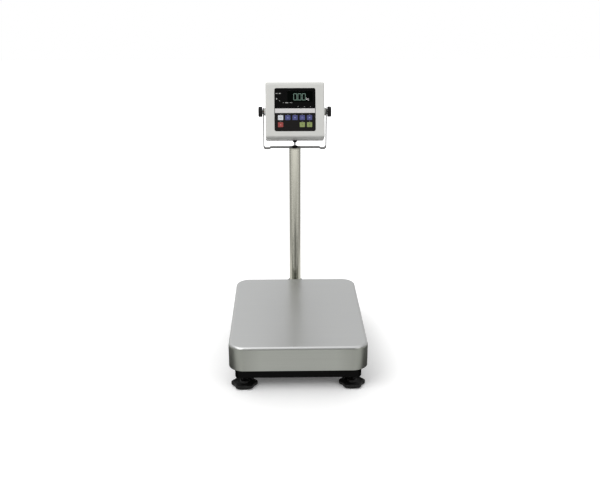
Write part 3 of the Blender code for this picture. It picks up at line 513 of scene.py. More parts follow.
def disc(name, radius, low, high, at=(0, 0), along="Z", sides=64):
    """A cylinder primitive from low to high along an axis."""
    centre = list(at)
    centre.insert("XYZ".index(along), (low + high) / 2)
    turn = {"X": (0, math.pi / 2, 0), "Y": (-math.pi / 2, 0, 0), "Z": (0, 0, 0)}[along]
    return add(name, bpy.ops.mesh.primitive_cylinder_add, vertices=sides, radius=radius,
               depth=high - low, location=centre, rotation=turn)


def soften(piece, width, segments=2, angle=30):
    """Rounds every sharp edge a little, as no real edge is perfectly sharp."""
    bevel = piece.modifiers.new("Soft edges", "BEVEL")
    bevel.width = width
    bevel.segments = segments
    bevel.limit_method = "ANGLE"
    bevel.angle_limit = math.radians(angle)
    apply_modifiers(piece)


def combine(piece, other, operation):
    """A Boolean of two pieces, which uses up the other."""
    boolean = piece.modifiers.new("Boolean", "BOOLEAN")
    boolean.operation = operation
    boolean.solver = "EXACT"
    boolean.object = other
    apply_modifiers(piece)
    bpy.data.objects.remove(other)


def fuse(piece, *others):
    """Joins pieces into one solid, as welding or moulding does."""
    for other in others:
        combine(piece, other, "UNION")


def copy_of(piece, name, shift=(0, 0, 0)):
    """A copy with a mesh of its own, moved in its mesh."""
    twin = bpy.data.objects.new(name, piece.data.copy())
    twin.data.transform(Matrix.Translation(shift))
    bpy.context.collection.objects.link(twin)
    return twin


def lobe_angle(point):
    """How far round from the nearest lobe's middle a point is, in degrees."""
    angle = math.degrees(math.atan2(point.y - FOOT[1], point.x - FOOT[0]))
    return abs((angle + 180 / LOBES) % (360 / LOBES) - 180 / LOBES)


wheel = disc("hand_wheel", WHEEL_RADIUS, wheel_low.z, WHEEL_TOP, FOOT, sides=SIDES)
edit(wheel)
for ring in range(SIDES // LOBES // 2 + 1):
    degrees = ring * 360 / SIDES
    dip = LOBE_DEPTH * (1 - math.cos(math.radians(LOBES * degrees))) / 2
    pick(wheel, "VERT", lambda c: abs(lobe_angle(c[0]) - degrees) < 0.5)
    share = (WHEEL_RADIUS - dip) / WHEEL_RADIUS
    bpy.ops.transform.resize(value=(share, share, 1), center_override=(*FOOT, WHEEL_TOP))
round_edges(wheel, 0.0026, 4, z=WHEEL_TOP)
round_edges(wheel, 0.0008, 2, z=wheel_low.z)
pick_at(wheel, "FACE", z=WHEEL_TOP)
bpy.ops.mesh.inset(thickness=0.004)
bpy.ops.mesh.inset(thickness=0.0008, depth=-0.0012)
done()
hub = disc("wheel_hub", 0.0155, WHEEL_TOP - 0.003, HUB_TOP, FOOT, sides=48)
edit(hub)
pick_at(hub, "FACE", z=HUB_TOP)
bpy.ops.transform.resize(value=(0.74, 0.74, 1), center_override=(*FOOT, HUB_TOP))
done()
soften(hub, 0.0006)
fuse(wheel, hub)
print("wheel across:", round(wheel.dimensions.x, 4))

# %% [markdown]
# The stud's thread shows between the wheel and the frame. At this size a helix and a stack of rings
# look the same, so the stud grows by extruding its end face half a pitch at a time, wide and narrow
# in turn. Above the frame's underside it is hidden, and one plain length is enough.

# %% The studs, the wheels and the soles
black_oxide = start_finish("black_oxide_steel", "1d1d1e", 0.45, 1.0)
vary(black_oxide, 300, roughness=(0.36, 0.55))
HALF_PITCH = 0.00175 / 2
HALF_TURNS = 18
CREST = 0.006
ROOT = 0.0052


def pull(*move):
    """Extrudes what is picked, along x, y and z."""
    bpy.ops.mesh.extrude_region_move(TRANSFORM_OT_translate={"value": move})


def grow(length, share, centre, along="Z"):
    """Extrudes the picked end face along an axis, then scales it about that axis."""
    axis = "XYZ".index(along)
    pull(*[length * (i == axis) for i in range(3)])
    bpy.ops.transform.resize(value=[1 if i == axis else share for i in range(3)], center_override=centre)


stud = disc("foot_stud", ROOT, WHEEL_TOP, HUB_TOP, FOOT, sides=32)
edit(stud)
pick_at(stud, "FACE", z=HUB_TOP)
for step in range(HALF_TURNS):
    grow(HALF_PITCH, CREST / ROOT if step % 2 == 0 else ROOT / CREST, (*FOOT, HUB_TOP))
grow(wheel_high.z - HUB_TOP - HALF_TURNS * HALF_PITCH, 1, (*FOOT, HUB_TOP))
done()

sole = disc("rubber_sole", 0.0285, sole_low.z, sole_high.z, FOOT, sides=72)
edit(sole)
pick(sole, "FACE", lambda c: len(c) == 4)
bpy.ops.mesh.inset(thickness=0.0011, use_individual=False)
bpy.ops.transform.resize(value=(0.975, 0.975, 1), center_override=(*FOOT, 0))
pick(sole, "FACE", lambda c: len(c) > 4 and close(c[0].z, sole_low.z))
bpy.ops.mesh.inset(thickness=0.004)
bpy.ops.mesh.inset(thickness=0.0006, depth=-0.0006)
done()
soften(sole, 0.0005)

for number in range(4, 0, -1):
    low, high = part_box(f"foot_sole_{number}")
    shift = ((low.x + high.x) / 2 - FOOT[0], (low.y + high.y) / 2 - FOOT[1], 0)
    one_wheel = copy_of(wheel, f"hand_wheel_{number}", shift)
    one_stud = copy_of(stud, f"foot_stud_{number}", shift)
    one_sole = copy_of(sole, f"rubber_sole_{number}", shift)
    hand_over(one_wheel, nylon, f"foot_wheel_{number}", "black_nylon", f"foot_wheel_{number}")
    hand_over(one_stud, black_oxide, f"foot_wheel_{number}", "black_painted_steel", smooth=60)
    hand_over(one_sole, rubber, f"foot_{number}", "black_rubber", f"foot_sole_{number}")
for pattern in (wheel, stud, sole):
    bpy.data.objects.remove(pattern)

# %% [markdown]
# ## Polished stainless tube
# The column is welded stainless tube, ground and then polished along its length. It reflects like a
# dull mirror, with fine lines that run up and down.

# %% Polished stainless steel
polished_steel = start_finish("polished_stainless_steel", "abaa9f", 0.2, 1.0)
tree, shader, coords = inside(polished_steel)
upright = add_node(tree, "Mapping", {"Vector": coords, "Scale": (1.0, 1.0, 0.01)})
vary(polished_steel, 500, 3, at=upright, tones=("a3a297", "b2b1a6"), roughness=(0.14, 0.28))

# %% [markdown]
# ## The column
# The tube is a cylinder whose two ends are deleted, with a 1.5 mm wall from Solidify. The plug in
# its top is turned: a rim on a body that fits inside, with a bore for the cable.

# %% The tube and its plug
TUBE_WALL = 0.0015
PLUG_RIM = 0.003
tube_low, tube_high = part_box("column_tube")
COLUMN = (0.0, (tube_low.y + tube_high.y) / 2)
TUBE_RADIUS = (tube_high.x - tube_low.x) / 2
tube = disc("column_tube_polished", TUBE_RADIUS, tube_low.z, tube_high.z, COLUMN, sides=96)
edit(tube)
pick(tube, "FACE", lambda c: len(c) > 4)
bpy.ops.mesh.delete(type="ONLY_FACE")
done()
thicken(tube, TUBE_WALL, even=False)
soften(tube, 0.0003, angle=60)
hand_over(tube, polished_steel, "base", "polished_stainless", "column_tube", smooth=40)


def cut_with(piece, *cutters):
    """Cuts a piece with others, which are used up."""
    for cutter in cutters:
        combine(piece, cutter, "DIFFERENCE")


plug_low, plug_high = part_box("column_plug")
plug = disc("column_top_plug", TUBE_RADIUS, plug_high.z - PLUG_RIM, plug_high.z, COLUMN, sides=96)
edit(plug)
pick(plug, "FACE", lambda c: len(c) > 4 and close(c[0].z, plug_high.z - PLUG_RIM))
bpy.ops.mesh.inset(thickness=0.0018)
grow(plug_low.z + PLUG_RIM - plug_high.z, 1, (*COLUMN, 0))
done()
cut_with(plug, disc("plug_bore", 0.007, plug_low.z - 0.01, plug_high.z + 0.01, COLUMN, sides=48))
soften(plug, 0.0003, angle=60)
hand_over(plug, polished_steel, "base", "polished_stainless", "column_plug", smooth=40)

# %% [markdown]
# ## Powder-coated steel
# The base, the spider and the column's foot are welded steel under a black powder coat. Powder melts
# into a skin with a slight orange peel: low bumps about 3 mm across that break up the highlights.

# %% Powder coat
def dress(finish, *names):
    """Gives pieces of the frame a finish."""
    for name in names:
        mesh = frame["nodes"][name].data
        mesh.materials.clear()
        mesh.materials.append(finish)
    print(f"{finish.name}: {len(names)} pieces of the frame")


powder_coat = start_finish("black_powder_coat", "020202", 0.5, Specular_IOR_Level=0.07)
vary(powder_coat, 330, 1, relief=(0.18, 0.0006))
vary(powder_coat, 18, 3, roughness=(0.4, 0.56))
dress(powder_coat, "base_frame", "spider", "column_bracket")

# %% [markdown]
# ## The socket
# A turned steel socket takes the tube at its foot. Two cylinders, the collar and its flange, are
# joined, bored through, and their edges broken as a lathe hand would with a file.

# %% The socket
socket_low, socket_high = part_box("column_socket")
socket = disc("column_socket_turned", 0.0245, socket_low.z + 0.001, socket_high.z, COLUMN, sides=80)
fuse(socket, disc("socket_flange", 0.033, socket_low.z, socket_low.z + 0.006, COLUMN, sides=80))
cut_with(socket, disc("socket_bore", TUBE_RADIUS + 0.0003, 0.0, 0.2, COLUMN, sides=80))
soften(socket, 0.001)
hand_over(socket, powder_coat, "base", "black_painted_steel", "column_socket")

# %% [markdown]
# ## The tilt bracket
# The bracket is one strip of stainless steel, bent twice. It starts as a flat plane for half of the
# web. The plane's end edge is extruded down over a small step, spun through a quarter turn for the
# bend, and extruded up for the leg. Mirror makes the other half, Solidify the 2.5 mm of steel. The
# strip is painted a dark grey, and its sheared edges, which show from the front, darker still: painted
# shade, as the strip lies in shade below the indicator.

# %% The tilt bracket
bent_steel = start_finish("sheared_stainless_strip", "4f4f4c", 0.32, 1.0)
tree, shader, coords = inside(bent_steel)
facing = add_node(tree, "NewGeometry")
facing = add_node(tree, "SeparateXYZ", {0: facing.outputs["Normal"]})
# Painted shade: the faces that look to the front or back, the sheared edges, are darker still.
sheared = add_node(tree, "Math", {0: facing.outputs["Y"]}, operation="ABSOLUTE")
sheared = add_node(tree, "MapRange", {"Value": sheared, "From Min": 0.5, "From Max": 0.8})
grain = vary(bent_steel, 400, roughness=(0.26, 0.4))
# Painted shade: the strip's faces are a dark grey, and darker again on its sheared edges.
sheet = add_node(tree, "Mix", {0: grain, 6: colour("484845"), 7: colour("565653")}, data_type="RGBA")
edge = add_node(tree, "Mix", {0: grain, 6: colour("1c1c1b"), 7: colour("2a2a28")}, data_type="RGBA")
tone = add_node(tree, "Mix", {0: sheared, 6: sheet, 7: edge}, data_type="RGBA")
plug_in(shader, {"Base Color": tone})

strip_low, strip_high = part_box("tilt_bracket")
STRIP = 0.0025
LEG_X = strip_high.x - STRIP / 2
WEB = 0.570 - STRIP / 2
WEB_HALF = 0.078
STEP_RUN = 0.006
STEP_DOWN = 0.0035
BEND = 0.008
BEND_MIDDLE = WEB - STEP_DOWN + BEND
bpy.ops.object.select_all(action="DESELECT")
bpy.ops.mesh.primitive_plane_add(size=1, location=(WEB_HALF / 2, COLUMN[1], WEB))
strip = bpy.context.object
strip.scale = (WEB_HALF, strip_high.y - strip_low.y, 1)
bpy.ops.object.transform_apply(location=True, rotation=True, scale=True)
edit(strip)
pick_at(strip, "EDGE", x=WEB_HALF)
pull(STEP_RUN, 0, -STEP_DOWN)
pull(LEG_X - BEND - WEB_HALF - STEP_RUN, 0, 0)
bpy.ops.mesh.spin(steps=12, angle=math.radians(90), axis=(0, 1, 0),
                  center=(LEG_X - BEND, COLUMN[1], BEND_MIDDLE))
pull(0, 0, strip_high.z - BEND_MIDDLE)
pick(strip, "VERT", lambda c: c[0].z > strip_high.z - 0.001)
bpy.ops.mesh.bevel(offset=0.0135, segments=8, affect="VERTICES")
done()
mirror = strip.modifiers.new("Other half", "MIRROR")
mirror.merge_threshold = 0.00001
thicken(strip, STRIP, offset=0)
tilt = next(joint for joint in frame["joints"] if joint["name"] == "head_tilt")
PIVOT = Vector(tilt["pos_m"])
AXIS = (PIVOT.y, PIVOT.z)
CLAMP_BORE = 0.0033
cut_with(strip, disc("pivot_hole", CLAMP_BORE, -0.12, 0.12, AXIS, "X", 32))
cut_with(strip, disc("grommet_hole", 0.0073, 0.55, 0.60, COLUMN, sides=48))
soften(strip, 0.0004, angle=50)
strip.name = "tilt_bracket_strip"
hand_over(strip, bent_steel, "base", "polished_stainless", "tilt_bracket", smooth=40)
print("bracket across:", round(strip.dimensions.x, 4))

# %% [markdown]
# ## Light grey housing
# The indicator's case is moulded in ABS, in a tool that was lightly spark-eroded. The eye gets a
# warm pale grey that is almost matt, with grain of half a millimetre. That grain is too fine to show
# here, so it is drawn 2 mm across and very low, and the colour drifts by one shade over the case.

# %% Moulded ABS
grey_abs = start_finish("moulded_light_grey_abs", "d9d9d5", 0.45)
vary(grey_abs, 500, roughness=(0.38, 0.52), relief=(0.08, 0.0004))
vary(grey_abs, 14, tones=("d5d5d1", "ddddd9"))

# %% [markdown]
# ## The indicator's two half shells
# The indicator tilts 20 degrees back, so it is modelled upright about its pivot and leaned back at
# the end. Each half starts as a box. Its long edges are rounded first, then the rims of its sides, as
# the real tool is cut. Deleting the face at the seam opens it, and Solidify gives it a 3 mm wall.

# %% Two half shells
HEAD = Matrix.Translation((0, PIVOT.y, PIVOT.z)) @ Matrix.Rotation(math.radians(-20), 4, "X")
SIDE = 0.094
TALL = 0.089
FRONT = -0.042
REAR = 0.042
WALL = 0.003


def half_shell(name, seam, end, top_radius, bottom_radius):
    """One half of the case, open at the seam."""
    shell = block(name, (-SIDE, min(seam, end), -TALL), (SIDE, max(seam, end), TALL))
    edit(shell)
    for level, radius in ((TALL, top_radius), (-TALL, bottom_radius)):
        pick(shell, "EDGE", lambda c: all(close(v.y, end) and close(v.z, level) for v in c))
        bpy.ops.mesh.bevel(offset=radius, segments=10)
    pick(shell, "EDGE", lambda c: close(c[0].x, c[1].x) and close(abs(c[0].x), SIDE)
         and not all(close(v.y, seam) for v in c))
    bpy.ops.mesh.bevel(offset=0.0045, segments=6)
    pick_at(shell, "FACE", y=seam)
    bpy.ops.mesh.delete(type="ONLY_FACE")
    done()
    thicken(shell, WALL)
    return shell


front_shell = half_shell("front_case", 0.014, FRONT, 0.012, 0.007)
rear_shell = half_shell("rear_case", 0.016, REAR, 0.006, 0.006)
print("case across:", round(front_shell.dimensions.x, 4), "tall:", round(front_shell.dimensions.z, 4))

# %% [markdown]
# ## Openings and bosses
# The front takes a shallow recess for the keypad's overlay, an opening for the display and one for
# each key, and a hole in each side for the clamp. Inside are the bosses that the cover's screws and
# the clamp's inserts need. A Boolean does each of them, as a drill or a mould insert would.

# %% Openings and bosses
OVERLAY_LOW = Vector((-0.065, -0.0424, -0.0695))
OVERLAY_HIGH = Vector((0.065, -0.0414, 0.0675))
WINDOW = (-0.024, 0.056, 0.024, 0.058)
KEY_PITCH = 0.0229
KEY_ROWS = (-0.0265, -0.0490)
KEY_SIZE = (0.0165, 0.0155)
GAP = 0.0003
THROUGH = (-0.05, -0.034)
GLAND = (0, 0.028)
SCREW_X, SCREW_Z = 0.082, 0.072
KEYS = {
    "key_on_off": (-2, 0),
    "key_blue_1": (-1, 0),
    "key_blue_2": (0, 0),
    "key_blue_3": (1, 0),
    "key_blue_4": (2, 0),
    "key_red": (-2, 1),
    "key_green_1": (1, 1),
    "key_green_2": (2, 1),
}


def tablet(name, left, right, bottom, top, front, back, radius, steps=6):
    """A flat block in the panel's plane, with round corners."""
    piece = block(name, (left, front, bottom), (right, back, top))
    edit(piece)
    pick(piece, "EDGE", lambda c: close(c[0].x, c[1].x) and close(c[0].z, c[1].z))
    bpy.ops.mesh.bevel(offset=radius, segments=steps)
    done()
    return piece


def key_place(name):
    """The middle of a key, from its column and row."""
    column, row = KEYS[name]
    return column * KEY_PITCH, KEY_ROWS[row]


SCREWS = [(x, z) for x in (-SCREW_X, SCREW_X) for z in (-SCREW_Z, SCREW_Z)]
for x, z in SCREWS:
    fuse(front_shell, disc("screw_boss", 0.005, FRONT + 0.002, 0.010, (x, z), "Y", 24))
for side in (-1, 1):
    ends = sorted((side * (SIDE - 0.001), side * (SIDE - 0.013)))
    fuse(front_shell, disc("pivot_boss", 0.0075, *ends, (0, 0), "X", 32))
cut_with(front_shell, tablet("recess", OVERLAY_LOW.x - GAP, OVERLAY_HIGH.x + GAP, OVERLAY_LOW.z - GAP,
                             OVERLAY_HIGH.z + GAP, THROUGH[0], FRONT + 0.0009, 0.006))
left, right, bottom, top = WINDOW
cut_with(front_shell, tablet("opening", left - GAP, right + GAP, bottom - GAP, top + GAP, *THROUGH, 0.002))
for name in KEYS:
    x, z = key_place(name)
    wide, tall = KEY_SIZE[0] / 2 + GAP, KEY_SIZE[1] / 2 + GAP
    cut_with(front_shell, tablet("opening", x - wide, x + wide, z - tall, z + tall, *THROUGH, 0.0012, 3))
cut_with(front_shell, disc("clamp_hole", CLAMP_BORE, -0.12, 0.12, (0, 0), "X", 32))
cut_with(rear_shell, disc("gland_hole", 0.0063, -0.10, -0.08, GLAND, "Z", 32))
for x, z in SCREWS:
    cut_with(front_shell, disc("screw_bore", 0.0015, -0.012, 0.02, (x, z), "Y", 16))
    cut_with(rear_shell, disc("screw_hole", 0.0018, 0.03, 0.05, (x, z), "Y", 16))
for shell, node in ((front_shell, "front_housing"), (rear_shell, "rear_cover")):
    soften(shell, 0.0003, angle=50)
    shell.data.transform(HEAD)
    hand_over(shell, grey_abs, "indicator", "light_grey_housing", node, smooth=40)

# %% [markdown]
# ## Screws in the rear cover
# Four pan-head screws hold the two halves together. A screw head starts as a short cylinder whose
# outer face is drawn out and in to a dome, and two crossed bars cut its drive.

# %% Four cover screws
pattern = disc("cover_screw", 0.0032, REAR + 0.0001, REAR + 0.0007, (0, 0), "Y", 32)
edit(pattern)
pick_at(pattern, "FACE", y=REAR + 0.0007)
for length, share in ((0.0004, 0.93), (0.0003, 0.85), (0.0002, 0.6)):
    grow(length, share, (0, 0, 0), "Y")
done()
for wide, tall in ((0.0018, 0.0004), (0.0004, 0.0018)):
    cut_with(pattern, block("drive", (-wide, REAR + 0.0006, -tall), (wide, REAR + 0.002, tall)))
for number, (x, z) in enumerate(SCREWS, 1):
    one = copy_of(pattern, f"cover_screw_{number}", (x, 0, z))
    one.data.transform(HEAD)
    hand_over(one, zinc, "indicator", "zinc_plated_steel")
bpy.data.objects.remove(pattern)

# %% [markdown]
# ## Keypad overlay, window and keys
# The overlay is printed polyester film: black ink behind a satin film, so it is dark, even, and
# shines softly. Above the band it is a deeper black than round the keys. The window is smoked
# acrylic, smooth as glass. The caps are silicone with a dry touch. Fine mottling in the film's gloss
# keeps it from looking like bare paint.

# %% Film, acrylic and silicone
BAND_HEIGHT = (HEAD @ Vector((0, FRONT, -0.004))).z
film = start_finish("printed_polyester_film", "1e1c1c", 0.38, Specular_IOR_Level=0.07)
tree, shader, coords = inside(film)
mottle = vary(film, 420, roughness=(0.32, 0.46))
height = add_node(tree, "SeparateXYZ", {0: coords})
upper = add_node(tree, "Math", {0: height.outputs["Z"], 1: BAND_HEIGHT}, operation="GREATER_THAN")
key_ink = add_node(tree, "Mix", {0: mottle, 6: colour("1a1818"), 7: colour("222020")}, data_type="RGBA")
ink = add_node(tree, "Mix", {0: upper, 6: key_ink, 7: colour("040404")}, data_type="RGBA")
plug_in(shader, {"Base Color": ink})
dress(film, "keypad_overlay")

acrylic = start_finish("smoked_acrylic", "030504", 0.12, Specular_IOR_Level=0.06)
vary(acrylic, 60, 1, roughness=(0.09, 0.15))


def silicone(name, code, darker):
    """The keys' silicone differs only in its colour."""
    finish = start_finish(name, code, 0.5)
    vary(finish, 700, tones=(darker, code), relief=(0.1, 0.0002))
    return finish


WHITE_KEY = silicone("white_silicone", "dfe2e9", "d3d6de")
BLUE_KEY = silicone("blue_silicone", "484c86", "3e4276")
RED_KEY = silicone("red_silicone", "a23f3a", "903833")
GREEN_KEY = silicone("green_silicone", "8f9f5e", "838f54")

# %% [markdown]
# A key is a moulded cap. Its block gets round corners, the front is inset and pushed in a fraction
# for the finger, and its rim is rolled. It is made once, and every key is a copy in its own place.

# %% The keys and the window
KEY_FRONT = FRONT - 0.0010
pattern = tablet("key_cap", -KEY_SIZE[0] / 2, KEY_SIZE[0] / 2, -KEY_SIZE[1] / 2, KEY_SIZE[1] / 2,
                 KEY_FRONT, FRONT + 0.0036, 0.0014, 5)
edit(pattern)
round_edges(pattern, 0.0005, 3, y=KEY_FRONT)
pick_at(pattern, "FACE", y=KEY_FRONT)
bpy.ops.mesh.inset(thickness=0.0004)
bpy.ops.mesh.inset(thickness=0.0003, depth=-0.00025)
done()
skirt_x, skirt_z = KEY_SIZE[0] / 2 + 0.0012, KEY_SIZE[1] / 2 + 0.0012
skirt = block("key_skirt", (-skirt_x, FRONT + 0.0032, -skirt_z), (skirt_x, FRONT + 0.0044, skirt_z))
fuse(pattern, skirt)
KEY_FINISHES = {
    "key_on_off": (WHITE_KEY, "key_white"),
    "key_red": (RED_KEY, "key_red"),
    "key_green_1": (GREEN_KEY, "key_green"),
    "key_green_2": (GREEN_KEY, "key_green"),
}
for name in KEYS:
    x, z = key_place(name)
    cap = copy_of(pattern, f"{name}_cap", (x, 0, z))
    cap.data.transform(HEAD)
    finish, slot = KEY_FINISHES.get(name, (BLUE_KEY, "key_blue"))
    hand_over(cap, finish, f"{name}_body", slot, name, smooth=40)
bpy.data.objects.remove(pattern)

window = tablet("smoked_window", *WINDOW, FRONT - 0.0002, -0.038, 0.002)
soften(window, 0.0002)
window.data.transform(HEAD)
hand_over(window, acrylic, "indicator", "smoked_window", "display_window")

# %% [markdown]
# ## Print on the panel
# The panel's print is a white band across its middle, small marks and the symbols on the keys. The
# real one bears names, so the band stays bare, and plain symbols stand on the keys. Each mark is a
# thin flat shape a twentieth of a millimetre proud, which is as thick as screen-printed ink gets.

# %% Inks
def screen_ink(name, thin, full):
    """Printed ink, a little uneven where the screen's mesh laid it thinner."""
    finish = start_finish(name, full, 0.5)
    vary(finish, 240, tones=(thin, full))
    return finish


white_ink = screen_ink("white_screen_ink", "d8d5d5", "e0dede")
faint_ink = screen_ink("grey_screen_ink", "a6a6a4", "bebebc")
dark_ink = screen_ink("dark_screen_ink", "4a4e54", "5c6067")
blue_ink = screen_ink("pale_blue_screen_ink", "8288bb", "959bcd")
red_ink = screen_ink("pale_red_screen_ink", "c08078", "cd8f86")
olive_ink = screen_ink("olive_screen_ink", "66733a", "727f44")
print("inks:", sum("screen_ink" in finish.name for finish in bpy.data.materials))

# %% Marks on the film
INK = 0.00005
FILM_FACE = OVERLAY_LOW.y


def bar(left, right, bottom, top, face=FILM_FACE, radius=0.0002):
    """A printed bar."""
    return tablet("mark", left, right, bottom, top, face - INK, face + INK, radius, 3)


def dot(x, z, radius, face=FILM_FACE, sides=24):
    """A printed dot, or a shape of few sides."""
    return disc("mark", radius, face - INK, face + INK, (x, z), "Y", sides)


def ring(x, z, radius, line, face=FILM_FACE):
    """A printed ring."""
    outer = dot(x, z, radius, face, 40)
    cut_with(outer, disc("hole", radius - line, face - 0.001, face + 0.001, (x, z), "Y", 40))
    return outer


def merge(name, pieces):
    """Joins several objects into one mesh."""
    only(pieces[0])
    for piece in pieces[1:]:
        piece.select_set(True)
    if len(pieces) > 1:
        bpy.ops.object.join()
    pieces[0].name = name
    return pieces[0]


def print_on(name, marks, ink, body, slot):
    """Joins marks into one printed piece and leans it back with the indicator."""
    piece = merge(name, marks)
    piece.data.transform(HEAD)
    hand_over(piece, ink, body, slot)


print_on("bare_white_band", [bar(-0.0635, 0.0635, -0.0115, 0.0026, radius=0.0008)], white_ink,
         "indicator", "key_white")
marks = [bar(x - 0.0022, x + 0.0022, z + 0.0102, z + 0.0107) for x, z in map(key_place, KEYS)]
marks += [bar(-0.0610, -0.0545, 0.0496, 0.0512), bar(-0.0510, -0.0455, 0.0492, 0.0516)]
marks += [bar(-0.0385, -0.0345, 0.0206, 0.0216), bar(-0.0305, -0.0215, 0.0198, 0.0218)]
marks += [bar(-0.0170, -0.0085, 0.0206, 0.0216), bar(-0.0595, -0.0565, 0.0310, 0.0362, radius=0.0014)]
marks += [bar(x, x + 0.0024, 0.0074, 0.0086) for x in (0.0085, 0.0285, 0.0480)]
marks += [ring(-0.0490, 0.0275, 0.0017, 0.0006)]
print_on("panel_marks", marks, faint_ink, "indicator", "key_white")

# %% [markdown]
# Each key bears one plain symbol in its own ink: a power sign, a triangle, a spot, a ring, a square
# and a cross. The green keys have a small olive square in their middle.

# %% Symbols on the keys
DISHED = KEY_FRONT + 0.00025


def power_sign(x, z):
    """A ring, open at its top, with a bar standing in the gap."""
    sign = ring(x, z, 0.0027, 0.0006, DISHED)
    cut_with(sign, block("gap", (x - 0.0009, DISHED - 0.001, z), (x + 0.0009, DISHED + 0.001, z + 0.004)))
    return [sign, bar(x - 0.0003, x + 0.0003, z + 0.0004, z + 0.0032, DISHED)]


def triangle(x, z):
    """A three-sided dot."""
    return [dot(x, z - 0.0005, 0.0028, DISHED, 3)]


def spot(x, z):
    """A filled dot."""
    return [dot(x, z, 0.0020, DISHED)]


def circle(x, z):
    """A ring."""
    return [ring(x, z, 0.0025, 0.0007, DISHED)]


def square(x, z):
    """A square with slightly rounded corners."""
    return [bar(x - 0.0019, x + 0.0019, z - 0.0019, z + 0.0019, DISHED, 0.0003)]


def cross(x, z):
    """A small square whose four sides are drawn out to arms, turned to stand on its corner."""
    arm = 0.0005
    sign = block("mark", (x - arm, DISHED - INK, z - arm), (x + arm, DISHED + INK, z + arm))
    for along, side in ((0, -1), (0, 1), (2, -1), (2, 1)):
        over = 2 - along
        level = (x, 0, z)[along] + side * arm
        middle = (x, 0, z)[over]
        edit(sign)
        pick(sign, "FACE", lambda c: all(close(v[along], level) and abs(v[over] - middle) < 2 * arm
                                         for v in c))
        pull(*[side * 0.0022 * (i == along) for i in range(3)])
        done()
    edit(sign)
    bpy.ops.mesh.select_all(action="SELECT")
    bpy.ops.transform.rotate(value=math.radians(45), orient_axis="Y", center_override=(x, 0, z))
    done()
    return [sign]


SYMBOLS = {
    "key_on_off": (power_sign, dark_ink),
    "key_blue_1": (triangle, blue_ink),
    "key_blue_2": (spot, blue_ink),
    "key_blue_3": (circle, blue_ink),
    "key_blue_4": (square, blue_ink),
    "key_red": (cross, red_ink),
    "key_green_1": (square, olive_ink),
    "key_green_2": (square, olive_ink),
}
for name, (draw, ink) in SYMBOLS.items():
    slot = "overlay_black" if ink is dark_ink else "key_white"
    print_on(f"{name}_symbol", draw(*key_place(name)), ink, f"{name}_body", slot)

# %% [markdown]
# ## The display
# Behind the smoked window, light-emitting segments show a weight of zero. A segment is a hexagonal
# bar, so it starts as a six-sided cylinder whose left and right halves are pulled apart. The plastic
# glows evenly, and a little noise in its strength makes it look like light through a diffuser.

# %% Lit segments
glow = start_finish("lit_green_segment", "1d2a22", 0.5)
tree, shader, coords = inside(glow)
shader.inputs["Emission Color"].default_value = colour("86a897")
diffuser = vary(glow, 300, 1)
power = add_node(tree, "MapRange", {"Value": diffuser, "To Min": 0.38, "To Max": 0.52})
plug_in(shader, {"Emission Strength": power})
WINDOW_FACE = FRONT - 0.0002
DIGIT = (0.0100, 0.0200)
THICK = 0.0019


def segment(x, z, length, upright):
    """One bar with pointed ends."""
    piece = dot(x, z, THICK / 2 * 1.15, WINDOW_FACE, 6)
    along = 2 if upright else 0
    middle = (x, 0, z)[along]
    if not upright:
        edit(piece)
        bpy.ops.mesh.select_all(action="SELECT")
        bpy.ops.transform.rotate(value=math.radians(90), orient_axis="Y", center_override=(x, 0, z))
        done()
    for side in (-1, 1):
        edit(piece)
        pick(piece, "VERT", lambda c: side * (c[0][along] - middle) > 0.0001)
        move = [side * (length - THICK * 1.15) / 2 * (i == along) for i in range(3)]
        bpy.ops.transform.translate(value=move)
        done()
    return piece


def zero(x, z):
    """The six outer segments, with x and z at the digit's middle."""
    wide, tall = DIGIT
    made = [segment(x, z + side * tall / 2, wide - 0.0005, False) for side in (-1, 1)]
    for side in (-1, 1):
        for level in (-1, 1):
            made.append(segment(x + side * wide / 2, z + level * tall / 4, tall / 2 - 0.0005, True))
    return made


lit = []
for number in range(3):
    lit += zero(0.0010 + number * 0.0136, 0.0395)
lit.append(dot(0.0078, 0.0292, 0.0011, WINDOW_FACE))
print_on("lit_segments", lit, glow, "indicator", "display_glass")

# %% [markdown]
# The unit stands beside the digits. Text is a curve, so it is made a mesh before it is put in its
# place, and it is given the same thickness as the segments.

# %% The unit
bpy.ops.object.select_all(action="DESELECT")
bpy.ops.object.text_add()
unit = bpy.context.object
unit.data.body = "kg"
unit.data.size = 0.0100
unit.data.extrude = INK
unit.data.resolution_u = 4
bpy.ops.object.convert(target="MESH")
unit = bpy.context.object
upright = Matrix.Rotation(math.pi / 2, 4, "X")
unit.data.transform(Matrix.Translation((0.0352, WINDOW_FACE, 0.0300)) @ upright)
print_on("unit_sign", [unit], white_ink, "indicator", "display_glass")

# %% [markdown]
# ## Clamp knobs
# The two knobs at the ends of the tilt axis are fluted for the fingers. Ten cylinders cut the
# flutes, and a bevel rounds what the cuts leave sharp. The right knob is modelled, and mirrored.

# %% Clamp knobs and their studs
knob_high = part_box("clamp_knob_right")[1]
KNOB_START = 0.10435
knob = disc("clamp_knob", 0.0165, KNOB_START, knob_high.x, AXIS, "X", 80)
edit(knob)
round_edges(knob, 0.0028, 5, x=knob_high.x)
round_edges(knob, 0.0020, 3, x=KNOB_START)
pick_at(knob, "FACE", x=knob_high.x)
bpy.ops.mesh.inset(thickness=0.0040)
bpy.ops.mesh.inset(thickness=0.0005, depth=-0.0006)
done()
for number in range(10):
    angle = math.radians(36 * number)
    spot_at = (AXIS[0] + 0.0181 * math.cos(angle), AXIS[1] + 0.0181 * math.sin(angle))
    cut_with(knob, disc("flute", 0.0030, KNOB_START - 0.001, knob_high.x + 0.001, spot_at, "X", 24))
soften(knob, 0.0005)
stud = disc("clamp_stud", 0.0029, 0.0815, KNOB_START + 0.004, AXIS, "X", 24)
soften(stud, 0.0004)


